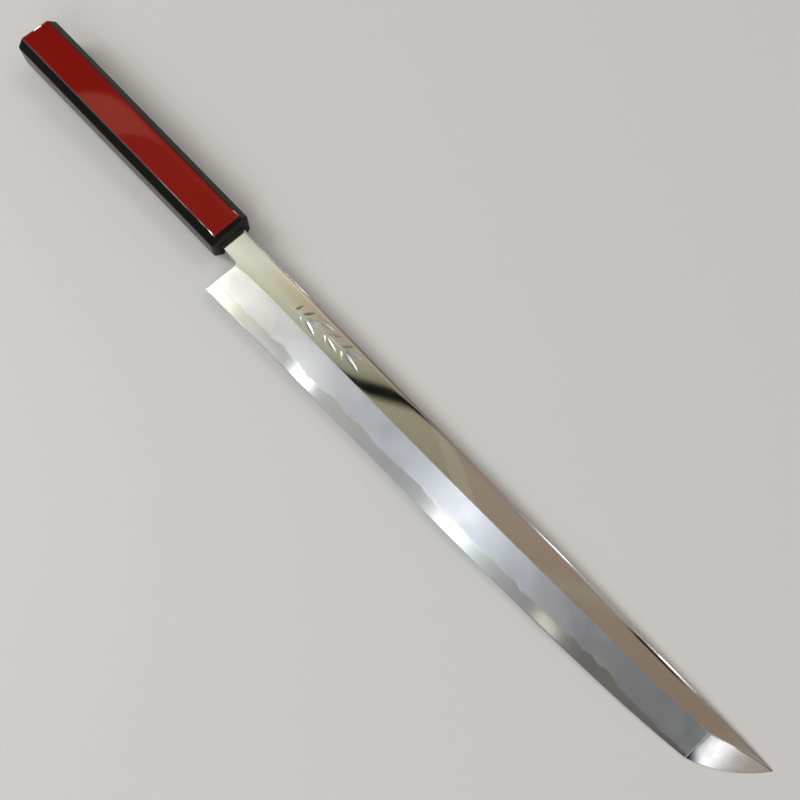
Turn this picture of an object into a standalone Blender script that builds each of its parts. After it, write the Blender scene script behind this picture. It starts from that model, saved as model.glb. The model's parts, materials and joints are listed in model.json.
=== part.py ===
"""Sword-tipped slicing knife with a single bevel and a lacquered octagonal handle, lying on its back face.

Metres, Z up. The knife has axes of its own: X runs from the front of the handle to the tip, Y points
to the spine, and Z rises from the flat back of the blade to its bevelled face. An empty carries them.
"""

import math

import bmesh
import bpy
from mathutils import Vector

MM = 0.001

# Blade, seen from the bevelled side
BLADE_LENGTH = 343.0 * MM  # front of the handle to the tip
HEEL_HEIGHT = 33.5 * MM  # spine to edge at the heel
POINT_HEIGHT = 23.4 * MM  # spine to edge where the point begins
POINT_LENGTH = 29.5 * MM  # the sword-like point, beyond its cross line
POINT_BULGE = 2.85 * MM  # how far the point's edge swells past a straight line
TIP_LAND = 0.3 * MM
EDGE_STEADY_RISE = 0.42  # share of the edge's rise that is an even slope, the rest gathers near the point
EDGE_RISE_POWER = 6

# Ridge between the flat and the bevel, as a depth below the spine
RIDGE_DEPTH_HEEL = 14.3 * MM
RIDGE_DEPTH_POINT = 8.9 * MM
RIDGE_RISE_POWER = 2.5
RIDGE_DIP = 1.7 * MM  # the ridge falls by this much as it comes to the heel
RIDGE_DIP_REACH = 12.0 * MM
POINT_RIDGE_POWER = 1.6  # over the point the ridge is straight at 1 and bends towards the spine above it

# Thickness
NECK_THICKNESS = 4.0 * MM
POINT_THICKNESS = 2.0 * MM
TIP_THICKNESS = 0.5 * MM
EDGE_LAND = 0.12 * MM
SPINE_EASE_WIDTH = 1.3 * MM  # eased corner of the spine, as wide as this on the flat
SPINE_EASE_DROP = 0.9 * MM  # how far that corner comes down at the neck, and less where the blade is thinner

# Hard steel of the back and edge, under the soft iron
STEEL_SHARE = 0.335  # share of the bevel's width on which the hard steel shows
STEEL_HEEL_LOSS = 0.06
STEEL_HEEL_REACH = 10.0 * MM
STEEL_WAVES = ((0.05, 47.0 * MM, 0.0), (0.035, 29.0 * MM, 1.1))  # share, length and phase of each wave
STEEL_START = 5.0 * MM  # where the hard steel ends in the neck
WELD_LAP = 0.2 * MM
WELD_GAP = 0.03 * MM

# Hollow of the back
HOLLOW_DEPTH = 0.3 * MM
HOLLOW_RIM_SPINE = 2.5 * MM
HOLLOW_RIM_EDGE = 2.0 * MM
HOLLOW_RIM_MOST = 0.25  # a rim takes at most this share of the blade's height, near the tip
HOLLOW_FROM_HEEL = 8.0 * MM
HOLLOW_FROM_POINT = 6.0 * MM
HOLLOW_FADE = 22.0 * MM
HOLLOW_ROWS = 8

# Neck, heel and tang
NECK_HEIGHT = 14.0 * MM
NECK_FLARE = 0.2 * MM
CHOIL_PLACE = 13.4 * MM  # front of the handle to the heel's back line, at the neck
CHOIL_SLANT = 2.2 * MM  # the heel corner lies this far behind that place
CHOIL_RADIUS = 3.0 * MM
CHOIL_SEGMENTS = 8
TANG_LENGTH = 108.0 * MM
TANG_SHOULDER = 1.3 * MM
TANG_FACE_STEP = 0.3 * MM
TANG_END_HEIGHT = 5.5 * MM
TANG_END_THICKNESS = 2.4 * MM
TANG_ROOT = 3.0 * MM  # length of the tang inside the neck

# Handle
HANDLE_LENGTH = 154.0 * MM
HANDLE_HEIGHT_FRONT = 23.2 * MM
HANDLE_HEIGHT_BUTT = 23.8 * MM
HANDLE_THICKNESS_FRONT = 18.8 * MM
HANDLE_THICKNESS_BUTT = 19.6 * MM
HANDLE_BEVEL = 3.8 * MM
FRONT_RADIUS = 1.8 * MM
BUTT_RADIUS = 2.4 * MM
BUTT_DOME = 0.9 * MM
END_STEPS = 5
DOME_STEPS = 4
SHOULDER_GAP = 0.3 * MM

# Lacquer, mortise and seal
BLACK_COAT = 0.55 * MM
RED_COAT = 0.25 * MM
RED_RIM = 0.2 * MM
RED_FRONT_MARGIN = 2.0 * MM
RED_BUTT_MARGIN = 1.6 * MM
COAT_GAP = 0.05 * MM
MORTISE_CLEARANCE = 0.8 * MM
MORTISE_END = 5.0 * MM
SEAL_DEPTH = 8.0 * MM
SEAL_GAP = 0.1 * MM

# Facets
BLADE_STATIONS = 64
POINT_STATIONS = 16
BLADE_SMOOTH_BELOW = math.radians(1.2)  # keeps the ridge, the cross line and the hollow's rim crisp
ROUND_SMOOTH_BELOW = math.radians(25)
CUT_MARGIN = 5.0 * MM
SAME_PLACE = 0.01 * MM

# Places that follow from the sizes
POINT_START = BLADE_LENGTH - POINT_LENGTH
TANG_HEIGHT = NECK_HEIGHT - 2 * TANG_SHOULDER
TANG_THICKNESS = NECK_THICKNESS - 2 * TANG_FACE_STEP
GRIP_Y = -NECK_HEIGHT / 2
GRIP_Z = NECK_THICKNESS / 2
BUTT_ROUND_START = -HANDLE_LENGTH + BUTT_DOME + BUTT_RADIUS

COLOURS = {
    "soft_iron": ((0.46, 0.45, 0.42), 0.28, 1.0),
    "hard_steel": ((0.60, 0.60, 0.59), 0.22, 1.0),
    "ho_wood": ((0.62, 0.50, 0.34), 0.65, 0.0),
    "black_lacquer": ((0.010, 0.010, 0.011), 0.12, 0.0),
    "red_lacquer": ((0.27, 0.020, 0.012), 0.15, 0.0),
    "resin": ((0.035, 0.028, 0.022), 0.5, 0.0),
}


# Scene and object helpers


def clear_scene():
    for obj in list(bpy.data.objects):
        bpy.data.objects.remove(obj, do_unlink=True)


def material(name):
    colour, roughness, metallic = COLOURS[name]
    made = bpy.data.materials.new(name)
    made.use_nodes = True
    shader = made.node_tree.nodes["Principled BSDF"]
    shader.inputs["Base Color"].default_value = (*colour, 1.0)
    shader.inputs["Roughness"].default_value = roughness
    shader.inputs["Metallic"].default_value = metallic
    return made


def add_object(name, bm, carrier, finish=None):
    """A mesh object under the carrier. Without a finish it is a cutter or a blank, which isn't a piece."""
    bmesh.ops.recalc_face_normals(bm, faces=bm.faces)
    mesh = bpy.data.meshes.new(name)
    bm.to_mesh(mesh)
    bm.free()
    mesh.shade_smooth()
    obj = bpy.data.objects.new(name, mesh)
    bpy.context.scene.collection.objects.link(obj)
    obj.parent = carrier
    if finish is None:
        obj.hide_render = True
        obj.display_type = "WIRE"
    else:
        mesh.materials.append(material(finish))
    return obj


def boolean(obj, other, operation="DIFFERENCE"):
    modifier = obj.modifiers.new(f"{operation.lower()}_{other.name}", "BOOLEAN")
    modifier.operation = operation
    modifier.solver = "EXACT"
    modifier.object = other


def finish_shading(obj, smooth_below=ROUND_SMOOTH_BELOW):
    """Applies the piece's cuts, keeps edges sharp that turn further than this angle, and lets large faces lead."""
    graph = bpy.context.evaluated_depsgraph_get()
    obj.data = bpy.data.meshes.new_from_object(obj.evaluated_get(graph))
    obj.modifiers.clear()
    obj.data.set_sharp_from_angle(angle=smooth_below)
    obj.modifiers.new("weighted_normals", "WEIGHTED_NORMAL").keep_sharp = True


def loft(rings):
    """Skin over closed rings of equally many points, with flat ends. A ring of one point closes a dome."""
    bm = bmesh.new()
    rows = [[bm.verts.new(point) for point in ring] for ring in rings]
    for near, far in zip(rows, rows[1:]):
        count = max(len(near), len(far))
        for i in range(count):
            j = (i + 1) % count
            corners = [near[i % len(near)], near[j % len(near)], far[j % len(far)], far[i % len(far)]]
            bm.faces.new(list(dict.fromkeys(corners)))
    for ring in (rows[0], rows[-1]):
        if len(ring) > 2:
            bm.faces.new(ring)
    return bm


def between(start, end, share):
    return start + (end - start) * share


# Blade outline and section, as depths below the spine and heights above the back


def edge_arc():
    """Centre and radius of the arc that is the point's cutting edge."""
    start = Vector((POINT_START, -POINT_HEIGHT))
    end = Vector((BLADE_LENGTH, -TIP_LAND))
    chord = end - start
    radius = (chord.length_squared / 4 + POINT_BULGE**2) / (2 * POINT_BULGE)
    inward = Vector((-chord.y, chord.x)).normalized()
    return (start + end) / 2 + inward * (radius - POINT_BULGE), radius


def edge_depth(x):
    if x > POINT_START:
        centre, radius = edge_arc()
        return math.sqrt(radius**2 - (x - centre.x) ** 2) - centre.y
    share = max(0.0, (x - CHOIL_PLACE) / (POINT_START - CHOIL_PLACE))
    rise = EDGE_STEADY_RISE * share + (1 - EDGE_STEADY_RISE) * share**EDGE_RISE_POWER
    return between(HEEL_HEIGHT, POINT_HEIGHT, rise)


def ridge_depth(x):
    if x > POINT_START:
        share = max(0.0, (BLADE_LENGTH - x) / POINT_LENGTH)
        return between(TIP_LAND / 2, RIDGE_DEPTH_POINT, share**POINT_RIDGE_POWER)
    share = max(0.0, (x - CHOIL_PLACE) / (POINT_START - CHOIL_PLACE))
    dip =RIDGE_DIP * math.exp(-max(0.0, x - CHOIL_PLACE) / RIDGE_DIP_REACH)
    return between(RIDGE_DEPTH_HEEL, RIDGE_DEPTH_POINT, share**RIDGE_RISE_POWER) + dip


def thickness(x):
    if x > POINT_START:
        share = (x - POINT_START) / POINT_LENGTH
        return between(POINT_THICKNESS, TIP_THICKNESS, share**2)
    return between(NECK_THICKNESS, POINT_THICKNESS, x / POINT_START)


def steel_height(x):
    """Top of the hard steel above the back. It meets the bevel in the wavy line."""
    waves = sum(size * math.sin(2 * math.pi * x / length + phase) for size, length, phase in STEEL_WAVES)
    loss = STEEL_HEEL_LOSS * math.exp(-max(0.0, x - CHOIL_PLACE) / STEEL_HEEL_REACH)
    share = STEEL_SHARE * (1 + waves) - loss
    return between(EDGE_LAND, thickness(x), share)


def bevel_depth(x, height):
    """Depth below the spine at which the bevel is this high above the back."""
    share = (thickness(x) - height) / (thickness(x) - EDGE_LAND)
    return between(ridge_depth(x), edge_depth(x), share)


def hollow_share(x):
    """How much of the hollow's depth is reached at this place along the blade, from 0 to 1."""
    start = CHOIL_PLACE + HOLLOW_FROM_HEEL
    end = POINT_START - HOLLOW_FROM_POINT
    inside = min(x - start, end - x) / HOLLOW_FADE
    return math.sin(math.pi / 2 * min(1.0, max(0.0, inside)))


def stations(start):
    body = [between(start, POINT_START, i / BLADE_STATIONS) for i in range(BLADE_STATIONS + 1)]
    point = [POINT_START + POINT_LENGTH * (i + 1) / POINT_STATIONS for i in range(POINT_STATIONS)]
    return body + point


# Blade pieces


def iron_ring(x, bottom):
    """Soft iron in section: its eased spine, the flat down to the ridge, and the bevel's upper part."""
    top = thickness(x)
    most = ridge_depth(x) / 2
    drop = min(SPINE_EASE_DROP * top / NECK_THICKNESS, most)
    return [
        (x, 0.0, bottom),
        (x, 0.0, top - drop),
        (x, -min(SPINE_EASE_WIDTH, most), top),
        (x, -ridge_depth(x), top),
        (x, -bevel_depth(x, bottom), bottom),
    ]


def iron_blank():
    """Soft iron of the blade and neck, over the hard steel, before the neck and heel are cut."""
    neck = [iron_ring(x, 0.0) for x in (SHOULDER_GAP, STEEL_START - WELD_GAP - WELD_LAP)]
    over_steel = [iron_ring(x, steel_height(x) + WELD_GAP) for x in stations(STEEL_START - WELD_GAP)]
    return loft(neck + over_steel)


def steel_ring(x):
    """Hard steel in section: its top against the iron, the strip that shows, the edge and the hollow back."""
    top = steel_height(x)
    edge = edge_depth(x)
    rim_spine = min(HOLLOW_RIM_SPINE, edge * HOLLOW_RIM_MOST)
    rim_edge = edge - min(HOLLOW_RIM_EDGE, edge * HOLLOW_RIM_MOST)
    ring = [(x, 0.0, 0.0), (x, 0.0, top), (x, -bevel_depth(x, top), top), (x, -edge, EDGE_LAND), (x, -edge, 0.0)]
    for i in range(HOLLOW_ROWS + 1):
        share = i / HOLLOW_ROWS
        depth = HOLLOW_DEPTH * hollow_share(x) * (1 - (2 * share - 1) ** 2)
        ring.append((x, -between(rim_edge, rim_spine, share), depth))
    return ring


def steel_blank():
    return loft([steel_ring(x) for x in stations(STEEL_START)])


def choil_cutter():
    """Prism that leaves the neck above it and the heel in front of it, with a round inner corner."""
    bottom = -HEEL_HEIGHT - CUT_MARGIN
    slope = CHOIL_SLANT / (HEEL_HEIGHT - NECK_HEIGHT)
    drop = HEEL_HEIGHT + CUT_MARGIN - NECK_HEIGHT
    outline = [
        (-CUT_MARGIN, -NECK_HEIGHT),
        (CHOIL_PLACE, -NECK_HEIGHT - NECK_FLARE),
        (CHOIL_PLACE - slope * drop, bottom),
        (-CUT_MARGIN, bottom),
    ]
    bm = loft([[(x, y, z) for x, y in outline] for z in (-CUT_MARGIN, NECK_THICKNESS + CUT_MARGIN)])
    bm.edges.ensure_lookup_table()
    corner = [
        edge
        for edge in bm.edges
        if all((vert.co.xy - Vector(outline[1])).length < SAME_PLACE for vert in edge.verts)
    ]
    bmesh.ops.bevel(
        bm,
        geom=corner,
        offset=CHOIL_RADIUS,
        segments=CHOIL_SEGMENTS,
        profile=0.5,
        affect="EDGES",
    )
    return bm


def tang_shape(front, back, margin):
    """Tapered bar on the grip's axis that follows the tang, thicker all round by the margin."""
    rings = []
    for x in (front, back):
        share = -x / TANG_LENGTH
        half_height = between(TANG_HEIGHT, TANG_END_HEIGHT, share) / 2 + margin
        half_thickness = between(TANG_THICKNESS, TANG_END_THICKNESS, share) / 2 + margin
        signs = ((1, 1), (-1, 1), (-1, -1), (1, -1))
        rings.append([(x, GRIP_Y + half_height * y, GRIP_Z + half_thickness * z) for y, z in signs])
    return loft(rings)


def add_blade(carrier):
    choil = add_object("cut_choil", choil_cutter(), carrier)
    tang = add_object("tang_blank", tang_shape(TANG_ROOT, -TANG_LENGTH, 0.0), carrier)
    iron = add_object("jigane_soft_iron", iron_blank(), carrier, "soft_iron")
    boolean(iron, choil)
    boolean(iron, tang, "UNION")
    finish_shading(iron, BLADE_SMOOTH_BELOW)
    steel = add_object("hagane_hard_steel", steel_blank(), carrier, "hard_steel")
    boolean(steel, choil)
    finish_shading(steel, BLADE_SMOOTH_BELOW)


# Handle pieces


def grip_half(x, front, butt):
    return between(front, butt, -x / HANDLE_LENGTH) / 2


def grip_ring(x, inset, share=1.0):
    """Octagon across the handle at this place, moved inwards by the inset and then shrunk by the share."""
    half_y = grip_half(x, HANDLE_HEIGHT_FRONT, HANDLE_HEIGHT_BUTT) - inset
    half_z = grip_half(x, HANDLE_THICKNESS_FRONT, HANDLE_THICKNESS_BUTT) - inset
    bevel = HANDLE_BEVEL - inset * (2 - math.sqrt(2))
    corner = ((half_y, half_z - bevel), (half_y - bevel, half_z))
    quarter_turns = ((1, 1, corner), (-1, 1, corner[::-1]), (-1, -1, corner), (1, -1, corner[::-1]))
    return [
        (x, GRIP_Y + sy * y * share, GRIP_Z + sz * z * share) for sy, sz, pair in quarter_turns for y, z in pair
    ]


def grip_shape(inset):
    """The octagonal handle, smaller by the inset on every side, with its rounded front and domed butt."""
    front = -inset
    butt = -HANDLE_LENGTH + BUTT_DOME + inset
    turns = [math.pi / 2 * i / END_STEPS for i in range(END_STEPS + 1)]
    rings = [
        grip_ring(front - FRONT_RADIUS * (1 - math.cos(a)), inset + FRONT_RADIUS * (1 - math.sin(a)))
        for a in turns
    ]
    rings += [
        grip_ring(butt + BUTT_RADIUS * (1 - math.cos(a)), inset + BUTT_RADIUS * (1 - math.sin(a)))
        for a in reversed(turns)
    ]
    for i in range(1, DOME_STEPS):
        share = 1 - i / DOME_STEPS
        rings.append(grip_ring(butt - BUTT_DOME * (1 - share**2), inset + BUTT_RADIUS, share))
    rings.append([(butt - BUTT_DOME, GRIP_Y, GRIP_Z)])
    return loft(rings)


def butt_inset(x):
    """How far the butt's rounding has drawn the octagon in at this place."""
    before_round = min(BUTT_RADIUS, max(0.0, BUTT_ROUND_START - x))
    return BUTT_RADIUS - math.sqrt(BUTT_RADIUS**2 - before_round**2)


def red_block(side, gap):
    """Block over one side face, as wide and long as its red coat. The side is 1 on the bevelled face, else -1."""
    rings = []
    end = -HANDLE_LENGTH + RED_BUTT_MARGIN + gap
    for x in (-RED_FRONT_MARGIN - gap, BUTT_ROUND_START, end):
        flat = grip_half(x, HANDLE_HEIGHT_FRONT, HANDLE_HEIGHT_BUTT) - HANDLE_BEVEL
        half_y = flat - butt_inset(x) * (math.sqrt(2) - 1) - RED_RIM - gap
        high = grip_half(x, HANDLE_THICKNESS_FRONT, HANDLE_THICKNESS_BUTT) + CUT_MARGIN
        corners = ((1, 0.0), (1, high), (-1, high), (-1, 0.0))
        rings.append([(x, GRIP_Y + half_y * y, GRIP_Z + side * z) for y, z in corners])
    return loft(rings)


def add_handle(carrier):
    mortise_shape = tang_shape(CUT_MARGIN, -TANG_LENGTH - MORTISE_END, MORTISE_CLEARANCE)
    mortise = add_object("cut_mortise", mortise_shape, carrier)
    wood_space = add_object("cut_wood_space", grip_shape(BLACK_COAT), carrier)
    core = add_object("handle_core_wood", grip_shape(BLACK_COAT + COAT_GAP), carrier, "ho_wood")
    boolean(core, mortise)
    finish_shading(core)
    coat = add_object("handle_black_lacquer", grip_shape(0.0), carrier, "black_lacquer")
    boolean(coat, wood_space)
    boolean(coat, mortise)
    outside = add_object("cut_outside", grip_shape(0.0), carrier)
    under_red = add_object("cut_under_red", grip_shape(RED_COAT), carrier)
    red_base = add_object("cut_red_base", grip_shape(RED_COAT - COAT_GAP), carrier)
    for name, side in (("omote", 1), ("ura", -1)):
        recess = add_object(f"cut_recess_{name}", red_block(side, 0.0), carrier)
        boolean(recess, under_red)
        boolean(coat, recess)
        red = add_object(f"handle_red_lacquer_{name}", red_block(side, COAT_GAP), carrier, "red_lacquer")
        boolean(red, outside, "INTERSECT")
        boolean(red, red_base)
        finish_shading(red)
    finish_shading(coat)


def add_seal(carrier):
    """Resin that closes the mouth of the mortise round the tang."""
    tang_space = tang_shape(CUT_MARGIN, -SEAL_DEPTH - CUT_MARGIN, SEAL_GAP)
    cutter = add_object("cut_tang_space", tang_space, carrier)
    collar = tang_shape(0.0, -SEAL_DEPTH, MORTISE_CLEARANCE - SEAL_GAP)
    seal = add_object("tang_seal_resin", collar, carrier, "resin")
    boolean(seal, cutter)
    finish_shading(seal)


# Resting place on a table


def lay_on_table(carrier):
    """Lays the knife on its tip and its handle's front edge, the middle of its box's floor at the origin."""
    front_thickness = grip_half(-FRONT_RADIUS, HANDLE_THICKNESS_FRONT, HANDLE_THICKNESS_BUTT)
    carrier.rotation_euler.y = math.atan2(front_thickness - GRIP_Z, BLADE_LENGTH + FRONT_RADIUS)
    bpy.context.view_layer.update()
    graph = bpy.context.evaluated_depsgraph_get()
    points = [
        obj.matrix_world @ vert.co
        for obj in carrier.children
        if not obj.hide_render
        for vert in obj.evaluated_get(graph).data.vertices
    ]
    low = Vector([min(point[axis] for point in points) for axis in range(3)])
    high = Vector([max(point[axis] for point in points) for axis in range(3)])
    middle = (low + high) / 2
    carrier.location = (-middle.x, -middle.y, -low.z)


def main():
    clear_scene()
    carrier = bpy.data.objects.new("knife", None)
    bpy.context.scene.collection.objects.link(carrier)
    add_blade(carrier)
    add_handle(carrier)
    add_seal(carrier)
    lay_on_table(carrier)


main()
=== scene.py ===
"""Looks of a sword-tipped slicing knife: polished two-steel blade, lacquered handle, studio and camera.

Pieces are modelled in the knife's own axes: X runs from the front of the handle to the tip, Y points to the
spine and Z rises from the flat back to the bevelled face. Each is then laid where the frame says.
"""

import json
import logging
import math
import random
from contextlib import contextmanager
from dataclasses import dataclass, field
from enum import Enum
from functools import cache
from typing import Callable, ClassVar, Iterator, Sequence

import bmesh
import bpy
from mathutils import Euler, Matrix, Vector

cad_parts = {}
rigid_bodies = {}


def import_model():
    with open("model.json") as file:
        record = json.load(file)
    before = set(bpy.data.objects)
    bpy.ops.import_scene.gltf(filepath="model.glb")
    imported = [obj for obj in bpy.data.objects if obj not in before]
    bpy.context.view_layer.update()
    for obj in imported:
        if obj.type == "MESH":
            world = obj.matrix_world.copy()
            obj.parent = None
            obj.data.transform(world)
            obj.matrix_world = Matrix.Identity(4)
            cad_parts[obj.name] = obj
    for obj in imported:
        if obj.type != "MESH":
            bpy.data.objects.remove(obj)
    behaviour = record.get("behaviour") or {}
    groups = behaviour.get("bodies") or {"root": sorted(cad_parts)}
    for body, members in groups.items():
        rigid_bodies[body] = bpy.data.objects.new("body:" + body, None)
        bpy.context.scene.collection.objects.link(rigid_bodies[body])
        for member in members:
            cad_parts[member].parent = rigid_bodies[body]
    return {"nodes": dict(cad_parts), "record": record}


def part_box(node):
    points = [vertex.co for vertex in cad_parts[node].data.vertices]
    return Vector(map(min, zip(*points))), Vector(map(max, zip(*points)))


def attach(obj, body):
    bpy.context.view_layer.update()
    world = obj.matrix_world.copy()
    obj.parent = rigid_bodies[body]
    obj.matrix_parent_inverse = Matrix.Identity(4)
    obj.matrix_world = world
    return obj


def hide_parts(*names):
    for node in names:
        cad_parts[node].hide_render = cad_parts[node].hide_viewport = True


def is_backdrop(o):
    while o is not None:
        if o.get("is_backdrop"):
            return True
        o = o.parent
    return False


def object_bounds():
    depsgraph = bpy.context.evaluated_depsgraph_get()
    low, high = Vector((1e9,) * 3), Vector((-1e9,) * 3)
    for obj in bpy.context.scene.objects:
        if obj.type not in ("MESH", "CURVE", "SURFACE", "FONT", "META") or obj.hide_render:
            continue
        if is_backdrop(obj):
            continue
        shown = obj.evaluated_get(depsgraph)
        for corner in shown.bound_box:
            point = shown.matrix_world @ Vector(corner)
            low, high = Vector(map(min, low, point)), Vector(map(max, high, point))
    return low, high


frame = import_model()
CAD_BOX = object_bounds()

MM = 0.001
MERGE = 1e-7  # metres; vertices closer than this are one
LOG = logging.getLogger("knife")

Piece = bpy.types.Object
Socket = bpy.types.NodeSocket
Triple = tuple[float, float, float]
Grain = tuple[Triple, float, float, float]  # waves per mm along, across and through, detail, low and high
Colour = Triple
Point2 = tuple[float, float]
Stops = tuple[tuple[float, Colour], ...]
Section = Callable[[float], list[Point2]]

WHITE: Colour = (1.0, 1.0, 1.0)
ALONG: Triple = (1.0, 0.0, 0.0)
ACROSS: Triple = (0.0, 1.0, 0.0)
UPWARD = Vector((0.0, 0.0, 1.0))
BLADE_MAP = "blade_measure"  # UV map, in mm: along the blade, and above the seam or, on the point, the ridge


def between(start: float, end: float, share: float) -> float:
    """The value this share of the way from start to end."""
    return start + (end - start) * share


def spread(start: float, end: float, steps: int) -> list[float]:
    """Values in even steps from start to end."""
    return [between(start, end, i / steps) for i in range(steps + 1)]


def dimmed(colour: Colour, loss: float) -> Colour:
    """A colour that has lost this share of its brightness."""
    return tuple(part * (1 - loss) for part in colour)


# Bench work: selecting, shaping and joining


class Element(Enum):
    """What is selected in edit mode, with the name of its list in an edit mesh."""

    VERT = "verts"
    EDGE = "edges"
    FACE = "faces"


class Join(Enum):
    """What a Boolean does with its tool."""

    CUT = "DIFFERENCE"
    ADD = "UNION"


def activate(piece: Piece) -> None:
    """Makes one object the only selected and the active one.

    Args:
        piece: The object.
    """
    bpy.ops.object.select_all(action="DESELECT")
    piece.select_set(True)
    bpy.context.view_layer.objects.active = piece


@contextmanager
def editing(piece: Piece) -> Iterator[None]:
    """Keeps a piece in edit mode for the length of a with block.

    Args:
        piece: The mesh object to edit.
    """
    activate(piece)
    bpy.ops.object.mode_set(mode="EDIT")
    yield
    bpy.ops.object.mode_set(mode="OBJECT")


def pick(piece: Piece, element: Element, wanted: Callable[..., bool]) -> None:
    """Selects, in edit mode, the elements that pass a test and nothing else.

    Args:
        piece: The object in edit mode.
        element: The kind of element to select.
        wanted: The test that gets each vertex, edge or face.
    """
    bpy.ops.mesh.select_mode(type=element.name)
    bpy.ops.mesh.select_all(action="DESELECT")
    mesh = bmesh.from_edit_mesh(piece.data)
    for item in getattr(mesh, element.value):
        if wanted(item):
            item.select_set(True)
    mesh.select_flush_mode()
    bmesh.update_edit_mesh(piece.data)


def run_along(edge: bmesh.types.BMEdge) -> float:
    """How far an edge runs along X."""
    return abs(edge.verts[0].co.x - edge.verts[1].co.x)


def stands_at(x: float) -> Callable[[bmesh.types.BMEdge], bool]:
    """Makes the test for an edge whose ends both lie at a place along X."""
    return lambda edge: all(abs(vertex.co.x - x) < MERGE for vertex in edge.verts)


def put(piece: Piece, matrix: Matrix) -> None:
    """Moves a piece and keeps its place in its mesh.

    Args:
        piece: The object to move.
        matrix: Where it goes.
    """
    piece.matrix_world = matrix
    activate(piece)
    bpy.ops.object.transform_apply(location=True, rotation=True, scale=True)


def add_bar(name: str, low: Sequence[float], high: Sequence[float]) -> Piece:
    """Adds a rectangular bar as blank for a piece or a tool.

    Args:
        name: The object's name.
        low: Its lowest corner.
        high: Its highest corner.

    Returns:
        The bar, with its place in its mesh.
    """
    bpy.ops.object.select_all(action="DESELECT")
    low, high = Vector(low), Vector(high)
    bpy.ops.mesh.primitive_cube_add(size=1, location=(low + high) / 2, scale=high - low)
    bpy.ops.object.transform_apply(location=True, rotation=True, scale=True)
    bar = bpy.context.object
    bar.name = name
    return bar


def wrap_grid(name: str, stations: Sequence[float], section: Section) -> Piece:
    """Adds a grid and wraps it round a section that changes along X, then closes its seam and both ends.

    Args:
        name: The object's name.
        stations: The places along X, in order.
        section: Gives the (y, z) points round the section at a station, always as many.

    Returns:
        The closed form.
    """
    rings = [section(x) for x in stations]
    rows, columns = len(rings), len(rings[0])
    bpy.ops.object.select_all(action="DESELECT")
    bpy.ops.mesh.primitive_grid_add(x_subdivisions=rows - 1, y_subdivisions=columns, size=2)
    piece = bpy.context.object
    piece.name = name
    for vertex in piece.data.vertices:
        row = round((vertex.co.x + 1) / 2 * (rows - 1))
        column = round((vertex.co.y + 1) / 2 * columns) % columns
        vertex.co = (stations[row], *rings[row][column])
    with editing(piece):
        bpy.ops.mesh.select_all(action="SELECT")
        bpy.ops.mesh.remove_doubles(threshold=MERGE)
        bpy.ops.mesh.fill_holes(sides=0)
        bpy.ops.mesh.select_all(action="SELECT")
        bpy.ops.mesh.normals_make_consistent(inside=False)
    return piece


def round_edges(piece: Piece, wanted: Callable[..., bool], width: float, steps: int) -> None:
    """Bevels the edges that pass a test.

    Args:
        piece: The object to shape.
        wanted: The test that gets each edge.
        width: How far the bevel reaches from the edge.
        steps: The number of facets across it.
    """
    with editing(piece):
        pick(piece, Element.EDGE, wanted)
        bpy.ops.mesh.bevel(offset=width, segments=steps, profile=0.5, affect="EDGES")


def resize_end(piece: Piece, x: float, centre: Vector, height: float, depth: float) -> None:
    """Scales the vertices at one end of a bar about its axis.

    Args:
        piece: The bar.
        x: The end's place.
        centre: A point of the axis.
        height: The factor along Y.
        depth: The factor along Z.
    """
    with editing(piece):
        pick(piece, Element.VERT, lambda vertex: abs(vertex.co.x - x) < MERGE)
        bpy.ops.transform.resize(value=(1, height, depth), center_override=centre)


def join(piece: Piece, tool: Piece, how: Join, keep_tool: bool = False) -> None:
    """Applies a Boolean to a piece.

    Args:
        piece: The object that changes.
        tool: The object it is joined with or cut by.
        how: What the Boolean does.
        keep_tool: Whether the tool is used again.
    """
    modifier = piece.modifiers.new(how.name.lower(), "BOOLEAN")
    modifier.operation = how.value
    modifier.solver = "EXACT"
    modifier.object = tool
    activate(piece)
    bpy.ops.object.modifier_apply(modifier=modifier.name)
    if not keep_tool:
        bpy.data.objects.remove(tool, do_unlink=True)


def shade(piece: Piece, sharp_above: float) -> None:
    """Shades a piece smooth up to an angle, with the large faces leading.

    Args:
        piece: The object to shade.
        sharp_above: The angle in degrees past which an edge stays sharp.
    """
    activate(piece)
    bpy.ops.object.shade_smooth_by_angle(angle=math.radians(sharp_above))
    modifier = piece.modifiers.new("weighted_normals", "WEIGHTED_NORMAL")
    modifier.keep_sharp = True
    bpy.ops.object.modifier_apply(modifier=modifier.name)


# Where the knife lies in the frame


@dataclass(frozen=True)
class Lay:
    """The knife's own axes in the frame: a turn about Y and a place."""

    tilt: float
    place: Vector

    @classmethod
    def from_frame(cls, blade_length: float, tip_thickness: float) -> "Lay":
        """Reads the knife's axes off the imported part.

        Args:
            blade_length: Front of the handle to the tip.
            tip_thickness: Thickness of the blade at the tip.

        Returns:
            The lay that the frame's back flat and boxes give.
        """
        mounts = {mount["name"]: mount for mount in frame["record"]["mounts"]}
        down = Vector(mounts["blade_back"]["axis"])
        tilt = math.atan2(-down.x, -down.z)
        iron_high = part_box("jigane_soft_iron")[1]
        steel_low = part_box("hagane_hard_steel")[0]
        x = iron_high.x - blade_length * math.cos(tilt) - tip_thickness * math.sin(tilt)
        return cls(tilt, Vector((x, iron_high.y, steel_low.z + blade_length * math.sin(tilt))))

    @property
    def matrix(self) -> Matrix:
        """Knife axes to frame."""
        return Matrix.Translation(self.place) @ Matrix.Rotation(self.tilt, 4, "Y")

    def settle(self, piece: Piece) -> None:
        """Lays a piece in the frame."""
        put(piece, self.matrix)


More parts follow.
